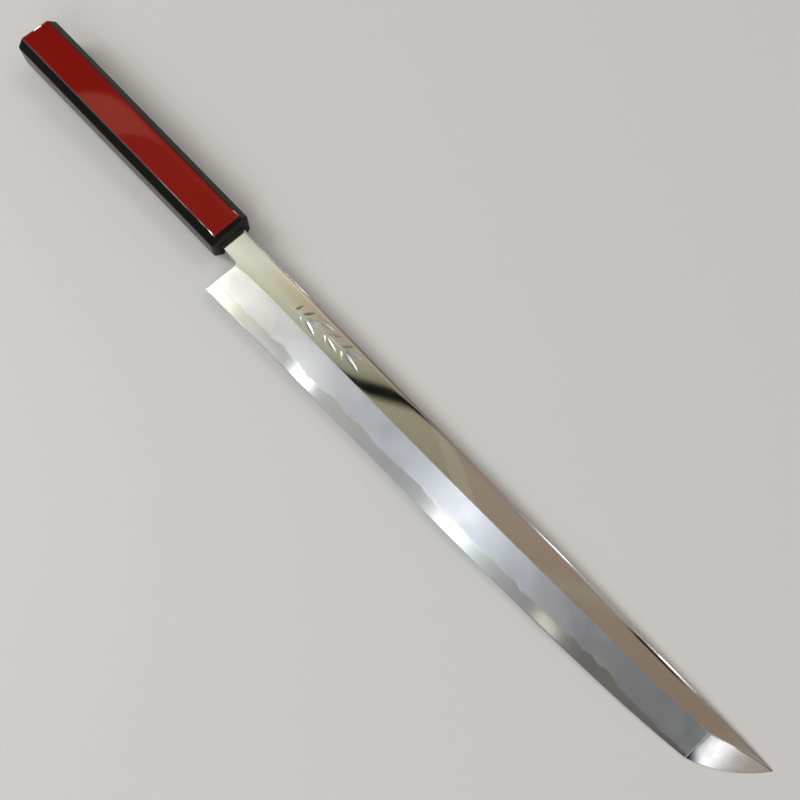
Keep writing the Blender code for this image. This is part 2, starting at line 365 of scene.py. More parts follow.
def hand_over(piece: Piece, lay: Lay, node: str, slot: str, sharp_above: float) -> None:
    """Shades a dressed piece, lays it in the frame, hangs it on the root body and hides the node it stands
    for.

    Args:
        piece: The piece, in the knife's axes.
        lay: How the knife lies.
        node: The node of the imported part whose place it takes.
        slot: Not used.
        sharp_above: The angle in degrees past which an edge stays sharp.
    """
    shade(piece, sharp_above)
    lay.settle(piece)
    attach(piece, "root")
    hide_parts(node)
    LOG.info("%s: %d polygons", piece.name, len(piece.data.polygons))


# Shader trees


class Graph:
    """A shader tree that is filled node by node."""

    STEP: ClassVar[float] = 220.0

    def __init__(self, tree: bpy.types.NodeTree) -> None:
        """Keeps the tree."""
        self.tree = tree

    def fill(self, socket: Socket, value: object) -> None:
        """Links a socket to an input, or sets the input's own value, where a colour gets its alpha.

        Args:
            socket: The input to fill.
            value: A socket, or a value for the input itself.
        """
        if isinstance(value, Socket):
            self.tree.links.new(value, socket)
        else:
            socket.default_value = (*value, 1.0) if socket.type == "RGBA" else value

    def add(self, kind: str, inputs: dict | None = None, **settings: object) -> bpy.types.Node:
        """Adds a node.

        Args:
            kind: The node's type.
            inputs: Values or sockets for its inputs, by name or index.
            **settings: Its properties.

        Returns:
            The node.
        """
        made = self.tree.nodes.new(kind)
        made.location = (self.STEP * len(self.tree.nodes), 0)
        for name, value in settings.items():
            setattr(made, name, value)
        for key, value in (inputs or {}).items():
            self.fill(made.inputs[key], value)
        return made

    def group(self, tree: bpy.types.NodeTree, **inputs: object) -> bpy.types.Node:
        """Adds a node group and fills its inputs."""
        return self.add("ShaderNodeGroup", inputs, node_tree=tree)

    def math(self, operation: str, *values: object) -> Socket:
        """Adds a Math node and returns its result."""
        return self.add("ShaderNodeMath", dict(enumerate(values)), operation=operation).outputs[0]

    def vector(self, operation: str, *values: object) -> Socket:
        """Adds a Vector Math node and returns its vector."""
        return self.add("ShaderNodeVectorMath", dict(enumerate(values)), operation=operation).outputs[0]

    def split(self, vector: Socket) -> list[Socket]:
        """Adds a Separate XYZ node and returns the three parts."""
        return list(self.add("ShaderNodeSeparateXYZ", {0: vector}).outputs)

    def remap(self, value: object, low: object, high: object, to_low: float = 0.0, to_high: float = 1.0,
              smooth: bool = True) -> Socket:
        """Maps a value from one range to another, clamped.

        Args:
            value: The socket to map.
            low: Start of its range.
            high: End of its range.
            to_low: What the start becomes.
            to_high: What the end becomes.
            smooth: Whether the passage eases in and out.

        Returns:
            The mapped value.
        """
        kind = "SMOOTHSTEP" if smooth else "LINEAR"
        inputs = {"Value": value, "From Min": low, "From Max": high, "To Min": to_low, "To Max": to_high}
        return self.add("ShaderNodeMapRange", inputs, interpolation_type=kind).outputs["Result"]

    def inside(self, value: object, low: float, high: float, soft: float) -> Socket:
        """Masks what lies between two limits.

        Args:
            value: The number or socket to judge.
            low: Where the mask is half open below.
            high: The same above.
            soft: Half the width of each border.

        Returns:
            The mask.
        """
        opening = self.remap(value, low - soft, low + soft)
        return self.math("MULTIPLY", opening, self.remap(value, high - soft, high + soft, 1.0, 0.0))

    def ramp(self, value: Socket, stops: Stops, low: float, high: float) -> Socket:
        """Adds a colour ramp whose stops stand at real values.

        Args:
            value: What runs along the ramp.
            stops: Pairs of a value and a colour.
            low: A value below all stops.
            high: A value above all stops.

        Returns:
            The colour.
        """
        made = self.add("ShaderNodeValToRGB", {0: self.remap(value, low, high, smooth=False)})
        elements = made.color_ramp.elements
        for at, colour in stops:
            elements.new((at - low) / (high - low)).color = (*colour, 1.0)
        elements.remove(elements[-1])
        elements.remove(elements[0])
        return made.outputs["Color"]

    def mix(self, share: object, first: object, second: object) -> Socket:
        """Mixes two colours.

        Args:
            share: How much of the second colour there is.
            first: A colour or a socket.
            second: The same.

        Returns:
            The mixed colour.
        """
        made = self.add("ShaderNodeMix", data_type="RGBA")
        wanted = {"Factor_Float": share, "A_Color": first, "B_Color": second}
        for socket in made.inputs:
            if socket.identifier in wanted:
                self.fill(socket, wanted[socket.identifier])
        return next(socket for socket in made.outputs if socket.identifier == "Result_Color")

    def noise(self, place: Socket, scale: Triple, detail: float, low: float, high: float) -> Socket:
        """Adds drawn-out noise as a mask.

        Args:
            place: Where it is read, in millimetres.
            scale: Waves per millimetre along, across and through.
            detail: How much finer noise lies in it.
            low: The noise that gives 0.
            high: The noise that gives 1.

        Returns:
            The mask.
        """
        made = self.group(drawn_noise_group(), Place=place, Scale=scale, Detail=detail, Low=low, High=high)
        return made.outputs["Mask"]


def open_group(name: str, inputs: dict[str, str],
               outputs: Sequence[str]) -> tuple[Graph, dict[str, Socket], bpy.types.Node]:
    """Starts a shader node group.

    Args:
        name: The group's name.
        inputs: The kind of each input, Vector or Float, by name.
        outputs: The names of its outputs, which are masks.

    Returns:
        The group's graph, its input sockets by name, and its output node.
    """
    tree = bpy.data.node_groups.new(name, "ShaderNodeTree")
    for wanted, direction in ((inputs, "INPUT"), (dict.fromkeys(outputs, "Float"), "OUTPUT")):
        for socket, kind in wanted.items():
            tree.interface.new_socket(socket, in_out=direction, socket_type=f"NodeSocket{kind}")
    graph = Graph(tree)
    entry = graph.add("NodeGroupInput")
    return graph, {name: entry.outputs[name] for name in inputs}, graph.add("NodeGroupOutput")


@cache
def drawn_noise_group() -> bpy.types.NodeTree:
    """Noise drawn out along the axes and cut to a range: cloud, grain, polish lines or hand waves.

    Returns:
        The group, with inputs Place, Scale (a vector), Detail, Low and High, and the output Mask.
    """
    kinds = {"Place": "Vector", "Scale": "Vector", "Detail": "Float", "Low": "Float", "High": "Float"}
    graph, given, result = open_group("drawn_noise", kinds, ["Mask"])
    drawn = graph.vector("MULTIPLY", given["Place"], given["Scale"])
    noise = graph.add("ShaderNodeTexNoise", {"Vector": drawn, "Scale": 1.0, "Detail": given["Detail"]})
    mask = graph.remap(noise.outputs["Fac"], given["Low"], given["High"], smooth=False)
    graph.fill(result.inputs["Mask"], mask)
    return graph.tree


@cache
def specks_group() -> bpy.types.NodeTree:
    """Small round specks, such as dust under lacquer, on a few cells of a grid.

    Returns:
        The group, with inputs Place, Density, Radius and Share, and the output Mask.
    """
    kinds = {"Place": "Vector", "Density": "Float", "Radius": "Float", "Share": "Float"}
    graph, given, result = open_group("specks", kinds, ["Mask"])
    cells = graph.add("ShaderNodeTexVoronoi", {"Vector": given["Place"], "Scale": given["Density"]})
    near = graph.math("LESS_THAN", cells.outputs["Distance"], given["Radius"])
    chosen = graph.math("LESS_THAN", graph.split(cells.outputs["Color"])[0], given["Share"])
    graph.fill(result.inputs["Mask"], graph.math("MULTIPLY", near, chosen))
    return graph.tree


SWELL = {"Scale": 0.11, "Detail": 2.0, "Roughness": 0.45}  # long waves of the line between the steels, per mm
RIPPLE = {"Scale": 0.9, "Detail": 3.0}  # and short ones on them
RIPPLE_SHARE = 0.35
NOISE_RANGE = (0.3, 0.7)  # noise hardly leaves this range


@cache
def seam_group() -> bpy.types.NodeTree:
    """The wavy line between the two steels.

    Returns:
        The group, with the inputs Place (along the blade, above the seam, in mm), Wave, Fade and Veil, and
        the outputs Iron (1 above the line) and Cloud (1 on the pale veil just above it).
    """
    kinds = {"Place": "Vector", "Wave": "Float", "Fade": "Float", "Veil": "Float"}
    graph, given, result = open_group("seam", kinds, ["Iron", "Cloud"])
    x, y, _ = graph.split(given["Place"])
    along = graph.add("ShaderNodeCombineXYZ", {0: x}).outputs[0]
    slow = graph.add("ShaderNodeTexNoise", {"Vector": along, **SWELL}).outputs["Fac"]
    quick = graph.add("ShaderNodeTexNoise", {"Vector": given["Place"], **RIPPLE}).outputs["Fac"]
    swell = graph.remap(slow, *NOISE_RANGE, -1.0, 1.0, smooth=False)
    ripple = graph.remap(quick, *NOISE_RANGE, -RIPPLE_SHARE, RIPPLE_SHARE, smooth=False)
    wave = graph.math("MULTIPLY", graph.math("ADD", swell, ripple), given["Wave"])
    above = graph.math("ADD", y, wave)
    iron = graph.remap(above, graph.math("MULTIPLY", given["Fade"], -1.0), given["Fade"])
    fading = graph.remap(above, 0.0, given["Veil"], 1.0, 0.0)
    graph.fill(result.inputs["Iron"], iron)
    graph.fill(result.inputs["Cloud"], graph.math("MULTIPLY", iron, fading))
    return graph.tree


# Finishes


@dataclass
class Surface:
    """A material in the making: its tree, its shader, and the place on the knife in millimetres."""

    graph: Graph
    shader: bpy.types.Node
    place: Socket

    def feed(self, name: str, value: object) -> None:
        """Fills one of the shader's inputs."""
        self.graph.fill(self.shader.inputs[name], value)

    def raise_heights(self, heights: Sequence[tuple[Socket, float]], coat: bool = False) -> None:
        """Stacks bumps on the shader's normal.

        Args:
            heights: Pairs of a height and its size in millimetres.
            coat: Whether the coat follows the same surface.
        """
        below = {}
        for height, size in heights:
            inputs = {"Height": height, "Distance": size * MM, "Strength": 1.0, **below}
            below = {"Normal": self.graph.add("ShaderNodeBump", inputs).outputs["Normal"]}
        self.feed("Normal", below["Normal"])
        if coat:
            self.feed("Coat Normal", below["Normal"])


@dataclass(frozen=True)
class Finish:
    """What every finish has. Patterns run in millimetres along the knife's own axes."""

    name: str
    colour: Colour
    roughness: float
    metallic: float = 0.0

    def make(self, lay: Lay) -> bpy.types.Material:
        """Builds the material.

        Args:
            lay: How the knife lies, so that patterns follow it.

        Returns:
            The dressed material.
        """
        made = bpy.data.materials.new(self.name)
        made.use_nodes = True
        graph = Graph(made.node_tree)
        axes = {"Vector": graph.add("ShaderNodeTexCoord").outputs["Object"], "Location": lay.place,
                "Rotation": (0.0, lay.tilt, 0.0), "Scale": (MM, MM, MM)}
        place = graph.add("ShaderNodeMapping", axes, vector_type="TEXTURE").outputs["Vector"]
        surface = Surface(graph, made.node_tree.nodes["Principled BSDF"], place)
        surface.feed("Base Color", self.colour)
        surface.feed("Roughness", self.roughness)
        surface.feed("Metallic", self.metallic)
        self.dress(surface)
        return made

    def dress(self, surface: Surface) -> None:
        """Adds the finish's own nodes.

        Args:
            surface: The material in the making.
        """


@dataclass(frozen=True)
class GroundSteel(Finish):
    """Steel with fine polish lines, a cloud in its haze and the gentle waves of hand work."""

    metallic: float = 1.0
    lines: Triple = (0.25, 6.0, 6.0)  # waves per millimetre along, across and through
    line_cut: Triple = (3.0, 0.3, 0.7)  # detail, and the noise that gives 0 and 1
    line_depth: float = 0.0004
    line_haze: float = 0.5  # how much the lines count in the haze against the cloud
    haze: float = 0.04
    haze_range: Point2 = (0.2, 1.3)
    cloud_scale: float = 0.09
    cloud_cut: Triple = (4.0, 0.25, 0.75)
    tone: float = 0.06
    wave_depth: float = 0.0
    waves: Grain = ((0.02, 0.05, 0.05), 1.0, 0.2, 0.8)

    def dress(self, surface: Surface) -> None:
        """Adds lines, haze and waves.

        Args:
            surface: The material in the making.
        """
        graph, place = surface.graph, surface.place
        lines = graph.noise(place, self.lines, *self.line_cut)
        cloud = graph.noise(place, (self.cloud_scale,) * 3, *self.cloud_cut)
        self.haze_and_tone(surface, lines, cloud)
        heights = [(lines, self.line_depth)]
        if self.wave_depth:
            heights.append((graph.noise(place, *self.waves), self.wave_depth))
        surface.raise_heights(heights)

    def haze_and_tone(self, surface: Surface, lines: Socket, cloud: Socket) -> None:
        """Lets the cloud and the lines change roughness and colour a little.

        Args:
            surface: The material in the making.
            lines: Mask of the polish lines.
            cloud: Mask of the cloud.
        """
        graph = surface.graph
        hazy = graph.math("ADD", cloud, graph.math("MULTIPLY", lines, self.line_haze))
        rough = graph.remap(hazy, *self.haze_range, self.roughness - self.haze, self.roughness + self.haze,
                            smooth=False)
        surface.feed("Roughness", rough)
        surface.feed("Base Color", graph.mix(cloud, dimmed(self.colour, self.tone), self.colour))


@dataclass(frozen=True)
class BevelSteel(GroundSteel):
    """The stone-polished bevel: misty iron above the wavy line and quieter hard steel below it."""

    edge_colour: Colour = (0.755, 0.745, 0.695)
    heel_painted_highlight: Colour = (0.785, 0.795, 0.78)  # painted highlight: the hard steel is whiter nearer to the heel
    heel_highlight_fade: Point2 = (60.0, 95.0)  # where that ends, in millimetres from the handle
    edge_painted_shade: Colour = (0.655, 0.615, 0.55)  # painted shade: duller in one stretch before the point
    painted_shade_stretch: Triple = (251.0, 290.0, 8.0)  # start, end and half the border's width
    edge_roughness: float = 0.09
    veil_colour: Colour = (0.86, 0.87, 0.88)
    wave: float = 0.85
    fade: Point2 = (0.25, 1.1)  # millimetres of soft border where the line is clear and where it is faint
    fading: Grain = ((0.03, 0.0, 0.0), 1.0, 0.38, 0.62)
    veil: float = 1.6
    veil_share: float = 0.12

    def haze_and_tone(self, surface: Surface, lines: Socket, cloud: Socket) -> None:
        """Divides the bevel at the wavy line, with a pale veil just above it and painted light and shade
        below it.

        Args:
            surface: The material in the making.
            lines: Mask of the polish lines.
            cloud: Mask of the cloud.
        """
        graph = surface.graph
        measured = graph.add("ShaderNodeUVMap", uv_map=BLADE_MAP).outputs["UV"]
        faint = graph.noise(surface.place, *self.fading)
        fade = graph.remap(faint, 0.0, 1.0, *self.fade, smooth=False)
        seam = graph.group(seam_group(), Place=measured, Wave=self.wave, Fade=fade, Veil=self.veil)
        above = seam.outputs["Iron"]
        iron = graph.mix(cloud, dimmed(self.colour, self.tone), self.colour)
        veil = graph.math("MULTIPLY", seam.outputs["Cloud"], self.veil_share)
        veiled = graph.mix(veil, iron, self.veil_colour)
        # the hard steel gets a painted highlight near the heel and painted shade in one stretch before the
        # point
        along = graph.split(measured)[0]
        bright = graph.mix(graph.remap(along, *self.heel_highlight_fade), self.heel_painted_highlight, self.edge_colour)
        bright = graph.mix(graph.inside(along, *self.painted_shade_stretch), bright, self.edge_painted_shade)
        steel = graph.vector("MULTIPLY", bright, graph.mix(cloud, dimmed(WHITE, self.tone / 2), WHITE))
        surface.feed("Base Color", graph.mix(above, steel, veiled))
        mist = graph.remap(cloud, 0.0, 1.0, self.roughness - self.haze, self.roughness + self.haze,
                           smooth=False)
        share = graph.math("MULTIPLY", above, graph.math("SUBTRACT", mist, self.edge_roughness))
        surface.feed("Roughness", graph.math("ADD", share, self.edge_roughness))


@dataclass(frozen=True)
class PointSteel(GroundSteel):
    """The brightly scratched point, with painted shade in the fine dark lines that border it and in its lower
    corner.
    """

    start: float = 313.5  # the cross line, in millimetres along the blade
    edge: float = -23.4  # the cutting edge there, below the spine
    # the colour of the painted shade
    dark: Colour = (0.015, 0.016, 0.022)
    dim_span: Point2 = (-0.3, 1.7)  # painted shade beside the cross line, where the scratches turn and mirror less light
    dim_painted_shade: float = 0.6
    cross_span: Point2 = (0.5, 1.0)  # the painted shade line beyond it
    cross_rows: Point2 = (-7.0, -12.6)  # how far below the ridge that line comes out
    cross_painted_shade: float = 0.55
    ridge_rows: Point2 = (-0.62, -0.372)  # the painted shade line under the ridge
    ridge_span: Point2 = (10.0, 14.0)  # how far beyond the cross line that one comes out
    ridge_painted_shade: float = 0.30
    # noise that breaks the painted shade line under the ridge into stretches
    ridge_wear: Grain = ((0.35, 0.1, 0.1), 1.0, 0.28, 0.40)
    corner_stretch: float = 0.8  # painted shade darkens the lower corner inside an oval
    corner_reach: Point2 = (1.2, 9.5)
    corner_painted_shade: float = 0.06

    def haze_and_tone(self, surface: Surface, lines: Socket, cloud: Socket) -> None:
        """Paints shade on the borders and in the lower corner.

        Args:
            surface: The material in the making.
            lines: Mask of the polish lines.
            cloud: Mask of the cloud.
        """
        super().haze_and_tone(surface, lines, cloud)
        graph = surface.graph
        bright = surface.shader.inputs["Base Color"].links[0].from_socket
        along, above, _ = graph.split(graph.add("ShaderNodeUVMap", uv_map=BLADE_MAP).outputs["UV"])
        beyond = graph.math("SUBTRACT", along, self.start)
        under = graph.remap(above, *self.ridge_rows)
        late = graph.remap(beyond, *self.ridge_span)
        # noise breaks the painted shade line under the ridge
        worn = graph.noise(surface.place, *self.ridge_wear)
        ridge = graph.math("MULTIPLY", graph.math("MULTIPLY", under, late), worn)
        beside = graph.remap(beyond, *self.cross_span, 1.0, 0.0)
        hidden = graph.math("MULTIPLY", beside, graph.remap(above, *self.cross_rows, 1.0, 0.0))
        cross = graph.math("SUBTRACT", beside, hidden)
        moved = graph.vector("SUBTRACT", surface.place, (self.start, self.edge, 0.0))
        scaled = graph.vector("MULTIPLY", moved, (1.0, 1.0 / self.corner_stretch, 0.0))
        far = graph.add("ShaderNodeVectorMath", {0: scaled}, operation="LENGTH").outputs["Value"]
        kept = graph.remap(beyond, *self.dim_span, self.dim_painted_shade, 1.0)
        for share in (
            graph.remap(ridge, 0.0, 1.0, 1.0, self.ridge_painted_shade),
            graph.remap(cross, 0.0, 1.0, 1.0, self.cross_painted_shade),
            graph.remap(far, *self.corner_reach, self.corner_painted_shade, 1.0),
        ):
            kept = graph.math("MULTIPLY", kept, share)
        surface.feed("Base Color", graph.mix(kept, self.dark, bright))


@dataclass(frozen=True)
class Lacquer(Finish):
    """Polished lacquer: a deep ground under a clear gloss, with faint brush waves and dust under it."""

    glow: Colour = (0.3, 0.02, 0.01)  # colour where the coat is thin
    coat_ior: float = 1.45
    coat_weight: float = 1.0
    coat_roughness: float = 0.03
    dust_gain: float = 1.5  # a speck is brighter than the ground by this factor and this much more
    dust_lift: float = 0.015
    dust_share: float = 0.6
    dust: Triple = (0.55, 0.035, 0.35)  # specks' density and radius, and the share of the cells that have one
    cloud: Grain = ((0.03, 0.09, 0.09), 3.0, 0.3, 0.7)
    waves: Grain = ((0.035, 0.11, 0.11), 1.0, 0.2, 0.8)
    wave_depth: float = 0.004
    peel: Grain = ((1.1, 1.4, 1.4), 2.0, 0.2, 0.8)
    peel_depth: float = 0.0006

    def dress(self, surface: Surface) -> None:
        """Adds depth of colour, waves, fine peel and dust.

        Args:
            surface: The material in the making.
        """
        graph, place = surface.graph, surface.place
        density, radius, share = self.dust
        specks = graph.group(specks_group(), Place=place, Density=density, Radius=radius, Share=share)
        pale = tuple(min(1.0, part * self.dust_gain + self.dust_lift) for part in self.colour)
        ground = graph.mix(graph.noise(place, *self.cloud), self.colour, self.glow)
        dust = graph.math("MULTIPLY", specks.outputs["Mask"], self.dust_share)
        surface.feed("Base Color", graph.mix(dust, ground, pale))
        surface.feed("Coat Weight", self.coat_weight)
        surface.feed("Coat Roughness", self.coat_roughness)
        surface.feed("Coat IOR", self.coat_ior)
        surface.feed("Specular IOR Level", 0.0)
        waves, peel = graph.noise(place, *self.waves), graph.noise(place, *self.peel)
        surface.raise_heights([(waves, self.wave_depth), (peel, self.peel_depth)], coat=True)


@dataclass(frozen=True)
class Wood(Finish):
    """Plain magnolia wood, straight in the grain."""

    late_colour: Colour = (0.40, 0.30, 0.18)
    rings: Grain = ((0.008, 0.5, 0.5), 3.0, 0.4, 0.6)
    pores: Grain = ((0.4, 9.0, 9.0), 2.0, 0.55, 0.8)
    pore_depth: float = 0.02

    def dress(self, surface: Surface) -> None:
        """Adds year rings drawn out along the handle, and pores.

        Args:
            surface: The material in the making.
        """
        graph, place = surface.graph, surface.place
        surface.feed("Base Color", graph.mix(graph.noise(place, *self.rings), self.colour, self.late_colour))
        surface.raise_heights([(graph.noise(place, *self.pores), -self.pore_depth)])


@dataclass(frozen=True)
class Resin(Finish):
    """Dark resin, cast by hand and slightly uneven."""

    gloss: float = 0.25
    sheen_change: float = 0.3
    lumps: Grain = ((1.2, 1.2, 1.2), 3.0, 0.3, 0.7)
    lump_depth: float = 0.05

    def dress(self, surface: Surface) -> None:
        """Adds lumps and a changing sheen.

        Args:
            surface: The material in the making.
        """
        graph = surface.graph
        lumps = graph.noise(surface.place, *self.lumps)
        dull, sheen = self.roughness * (1 + self.sheen_change), self.roughness * (1 - self.sheen_change)
        surface.feed("Roughness", graph.remap(lumps, 0.0, 1.0, sheen, dull))
        surface.feed("Specular IOR Level", self.gloss)
        surface.raise_heights([(lumps, self.lump_depth)])


@dataclass(frozen=True)
class Paper(Finish):
    """The plain pale floor, matt and even."""

    tooth: Grain = ((1.5, 1.5, 1.5), 4.0, 0.2, 0.8)
    tooth_depth: float = 0.01

    def dress(self, surface: Surface) -> None:
        """Adds a faint tooth."""
        surface.raise_heights([(surface.graph.noise(surface.place, *self.tooth), self.tooth_depth)])


class Facet(Enum):
    """The ground faces of the blade, each with a finish of its own, in the order of their slots."""

    FLAT = 0
    BEVEL = 1
    POINT = 2
    SPINE = 3
    BACK = 4
    GROOVE = 5
    LAND = 6


BLADE_FINISHES: dict[Facet, Finish] = {
    Facet.FLAT: GroundSteel("mirror_flat", (0.80, 0.775, 0.745), 0.03, lines=(0.12, 5.0, 5.0),
                            line_depth=0.00003, haze=0.012, tone=0.03, wave_depth=0.0012),
    Facet.BEVEL: BevelSteel("misty_bevel", (0.77, 0.775, 0.785), 0.18, lines=(2.2, 0.7, 0.7),
                            line_depth=0.00001, haze=0.03),
    Facet.POINT: PointSteel("bright_point", (0.86, 0.85, 0.84), 0.14, lines=(2.6, 0.35, 0.35),
                            line_depth=0.00035, haze=0.03, tone=0.05, cloud_scale=0.3),
    Facet.SPINE: GroundSteel("satin_spine", (0.76, 0.75, 0.73), 0.10, lines=(0.2, 9.0, 9.0),
                             line_depth=0.00001),
    Facet.BACK: GroundSteel("ground_back", (0.72, 0.71, 0.69), 0.18, lines=(5.0, 0.2, 0.2),
                            line_depth=0.0006, cloud_scale=0.05),
    Facet.GROOVE: GroundSteel("chisel_cut", (0.40, 0.39, 0.37), 0.36, lines=(3.0, 3.0, 3.0),
                              line_depth=0.002, haze=0.05, tone=0.1),
    Facet.LAND: GroundSteel("bright_land", (0.88, 0.88, 0.87), 0.20, lines=(6.0, 0.4, 0.4),
                            line_depth=0.0002),
}

BLACK_LACQUER = Lacquer("black_lacquer", (0.0045, 0.0045, 0.0042), 0.45, glow=(0.0070, 0.0064, 0.0056),
                        coat_ior=1.34, coat_weight=0.75)
RED_LACQUER = Lacquer("red_lacquer", (0.257, 0.0070, 0.0042), 0.45, glow=(0.286, 0.0096, 0.0054))
HO_WOOD = Wood("ho_wood", (0.62, 0.50, 0.34), 0.6)
SEAL_RESIN = Resin("seal_resin", (0.010, 0.0105, 0.0105), 0.5)
FLOOR_PAPER = Paper("floor_paper", (0.80, 0.795, 0.78), 0.6)


# Blade


@dataclass(frozen=True)
class BladeForm:
    """Outline and section of the blade, as depths below the spine and heights above the back."""

    length: float = 343.0 * MM
    heel_height: float = 33.5 * MM  # from the spine to the edge
    point_height: float = 23.4 * MM
    point_length: float = 29.5 * MM  # from the cross line to the tip
    point_bulge: float = 2.85 * MM  # how far the point's arc stands out from its chord
    tip_land: float = 0.3 * MM  # depth of the edge at the very tip
    steady_rise: float = 0.42  # share of the edge's rise that is even, while the rest comes near the point
    rise_power: float = 6.0
    ridge_heel: float = 14.3 * MM  # depth of the ridge at the heel, without its dip there
    ridge_point: float = 8.9 * MM
    ridge_power: float = 2.5
    ridge_dip: float = 1.7 * MM
    ridge_dip_reach: float = 12.0 * MM
    ridge_land: float = 0.06 * MM  # half the width of the narrow land that polishing leaves on the ridge
    ridge_land_heel: float = 0.42 * MM
    ridge_land_heel_reach: float = 30.0 * MM
    ridge_land_point: float = 0.34 * MM
    ridge_land_point_reach: float = 7.0 * MM
    ridge_land_point_fall: float = 1.6  # how fast it narrows from its widest place
    ridge_land_parts: float = 8.0  # the land takes one part in this many of the flat at most
    cross_land: float = 0.22 * MM  # half the width of the land on the cross line
    point_ridge_power: float = 1.25
    neck_thickness: float = 4.0 * MM
    point_thickness: float = 2.0 * MM
    tip_thickness: float = 0.5 * MM
    edge_land: float = 0.12 * MM  # thickness at the edge
    keen_width: float = 0.45 * MM  # width of the keen edge, and how much thinner it ends
    keen_drop: float = 0.06 * MM
    spine_ease: float = 0.9 * MM  # how far the spine's corner is eased at the neck, and its width on the flat
    spine_width: float = 1.3 * MM
    steel_share: float = 0.335  # share of the bevel that is hard steel
    steel_heel_loss: float = 0.06
    steel_heel_reach: float = 10.0 * MM
    steel_waves: tuple[Triple, ...] = ((0.05, 47.0 * MM, 0.0), (0.035, 29.0 * MM, 1.1))  # size, length, phase
    steel_point_loss: float = 0.21  # polishing lets less of the hard steel show towards the point
    steel_point_fall: Point2 = (262.0 * MM, 302.0 * MM)
    heel_place: float = 13.4 * MM  # how far the heel stands from the handle
    crown_tilt: float = 0.0012  # slope of the flat's roll: in its middle, at the spine and at the ridge
    crown_spine_tilt: float = 0.016
    crown_ridge_tilt: float = 0.004
    crown_power: int = 9

    @property
    def point_start(self) -> float:
        """Where the cross line of the point is."""
        return self.length - self.point_length

    def share(self, x: float) -> float:
        """How far x is from the heel to the point, from 0 to 1."""
        return max(0.0, (x - self.heel_place) / (self.point_start - self.heel_place))

    def edge_arc(self) -> tuple[Vector, float]:
        """Finds the arc that is the point's cutting edge.

        Returns:
            Its centre and radius.
        """
        start = Vector((self.point_start, -self.point_height))
        end = Vector((self.length, -self.tip_land))
        chord = end - start
        radius = (chord.length_squared / 4 + self.point_bulge**2) / (2 * self.point_bulge)
        inward = Vector((-chord.y, chord.x)).normalized()
        return (start + end) / 2 + inward * (radius - self.point_bulge), radius

    def edge_depth(self, x: float) -> float:
        """Finds the cutting edge.

        Args:
            x: The place along the blade.

        Returns:
            Its depth below the spine.
        """
        if x > self.point_start:
            centre, radius = self.edge_arc()
            return math.sqrt(radius**2 - (x - centre.x) ** 2) - centre.y
        share = self.share(x)
        rise = self.steady_rise * share + (1 - self.steady_rise) * share**self.rise_power
        return between(self.heel_height, self.point_height, rise)

    def ridge_depth(self, x: float) -> float:
        """Finds the ridge between the flat and the bevel.

        Args:
            x: The place along the blade.

        Returns:
            Its depth below the spine.
        """
        if x > self.point_start:
            share = (self.length - x) / self.point_length
            return between(self.tip_land / 2, self.ridge_point, max(0.0, share) ** self.point_ridge_power)
        dip = self.ridge_dip * math.exp(-max(0.0, x - self.heel_place) / self.ridge_dip_reach)
        return between(self.ridge_heel, self.ridge_point, self.share(x) ** self.ridge_power) + dip

    def ridge_wear(self, x: float) -> float:
        """Measures the narrow land that polishing leaves on the ridge.

        Args:
            x: The place along the blade.

        Returns:
            Half its width.
        """
        from_heel = max(0.0, x - self.heel_place) / self.ridge_land_heel_reach
        from_point = (x - self.point_start - self.ridge_land_point_reach / 2) / self.ridge_land_point_reach
        at_heel = (self.ridge_land_heel - self.ridge_land) * math.exp(-(from_heel**2))
        narrowing = self.ridge_land_point_fall * from_point
        at_point = (self.ridge_land_point - self.ridge_land) * math.exp(-(narrowing**2))
        return min(self.ridge_land + at_heel + at_point, self.ridge_depth(x) / self.ridge_land_parts)

    def thickness(self, x: float) -> float:
        """Measures the blade's thickness.

        Args:
            x: The place along the blade.

        Returns:
            The height of the flat above the back.
        """
        if x > self.point_start:
            share = (x - self.point_start) / self.point_length
            return between(self.point_thickness, self.tip_thickness, share**2)
        return between(self.neck_thickness, self.point_thickness, x / self.point_start)

    def steel_height(self, x: float) -> float:
        """Finds the top of the hard steel.

        Args:
            x: The place along the blade.

        Returns:
            Its height above the back.
        """
        waves = sum(size * math.sin(2 * math.pi * x / length + phase)
                    for size, length, phase in self.steel_waves)
        loss = self.steel_heel_loss * math.exp(-max(0.0, x - self.heel_place) / self.steel_heel_reach)
        start, end = self.steel_point_fall
        fall = min(1.0, max(0.0, (x - start) / (end - start)))
        loss += self.steel_point_loss * fall * fall * (3 - 2 * fall)
        return between(self.edge_land, self.thickness(x), self.steel_share * (1 + waves) - loss)

    def bevel_depth(self, x: float, height: float) -> float:
        """Depth below the spine at which the bevel is this high above the back."""
        share = (self.thickness(x) - height) / (self.thickness(x) - self.edge_land)
        return between(self.ridge_depth(x), self.edge_depth(x), share)

    def bevel_place(self, x: float, share: float) -> Vector:
        """The place on the bevel this share of the way from the ridge to the edge."""
        depth = between(self.ridge_depth(x), self.edge_depth(x), share)
        return Vector((x, -depth, between(self.thickness(x), self.edge_land, share)))

    def bevel_normal(self, x: float, share: float) -> Vector:
        """Finds the bevel's normal.

        Args:
            x: The place along the blade.
            share: The share of the way from the ridge to the edge.

        Returns:
            The normal.
        """
        along = self.bevel_place(x + MM, share) - self.bevel_place(x - MM, share)
        down = self.bevel_place(x, 1.0) - self.bevel_place(x, 0.0)
        return down.cross(along).normalized()

    def seam_depth(self, x: float) -> float:
        """Depth of the line where the two steels meet on the bevel."""
        return self.bevel_depth(x, self.steel_height(x))

    def spine_facet(self, x: float) -> Point2:
        """How wide the spine's eased corner is on the flat, and how far it comes down."""
        drop = self.spine_ease * self.thickness(x) / self.neck_thickness
        return min(self.spine_width, self.ridge_depth(x) / 2), min(drop, self.ridge_depth(x) / 2)

    def spine_normal(self, x: float) -> Vector:
        """Normal of the spine's eased corner."""
        width, drop = self.spine_facet(x)
        return Vector((0.0, drop, width)).normalized()

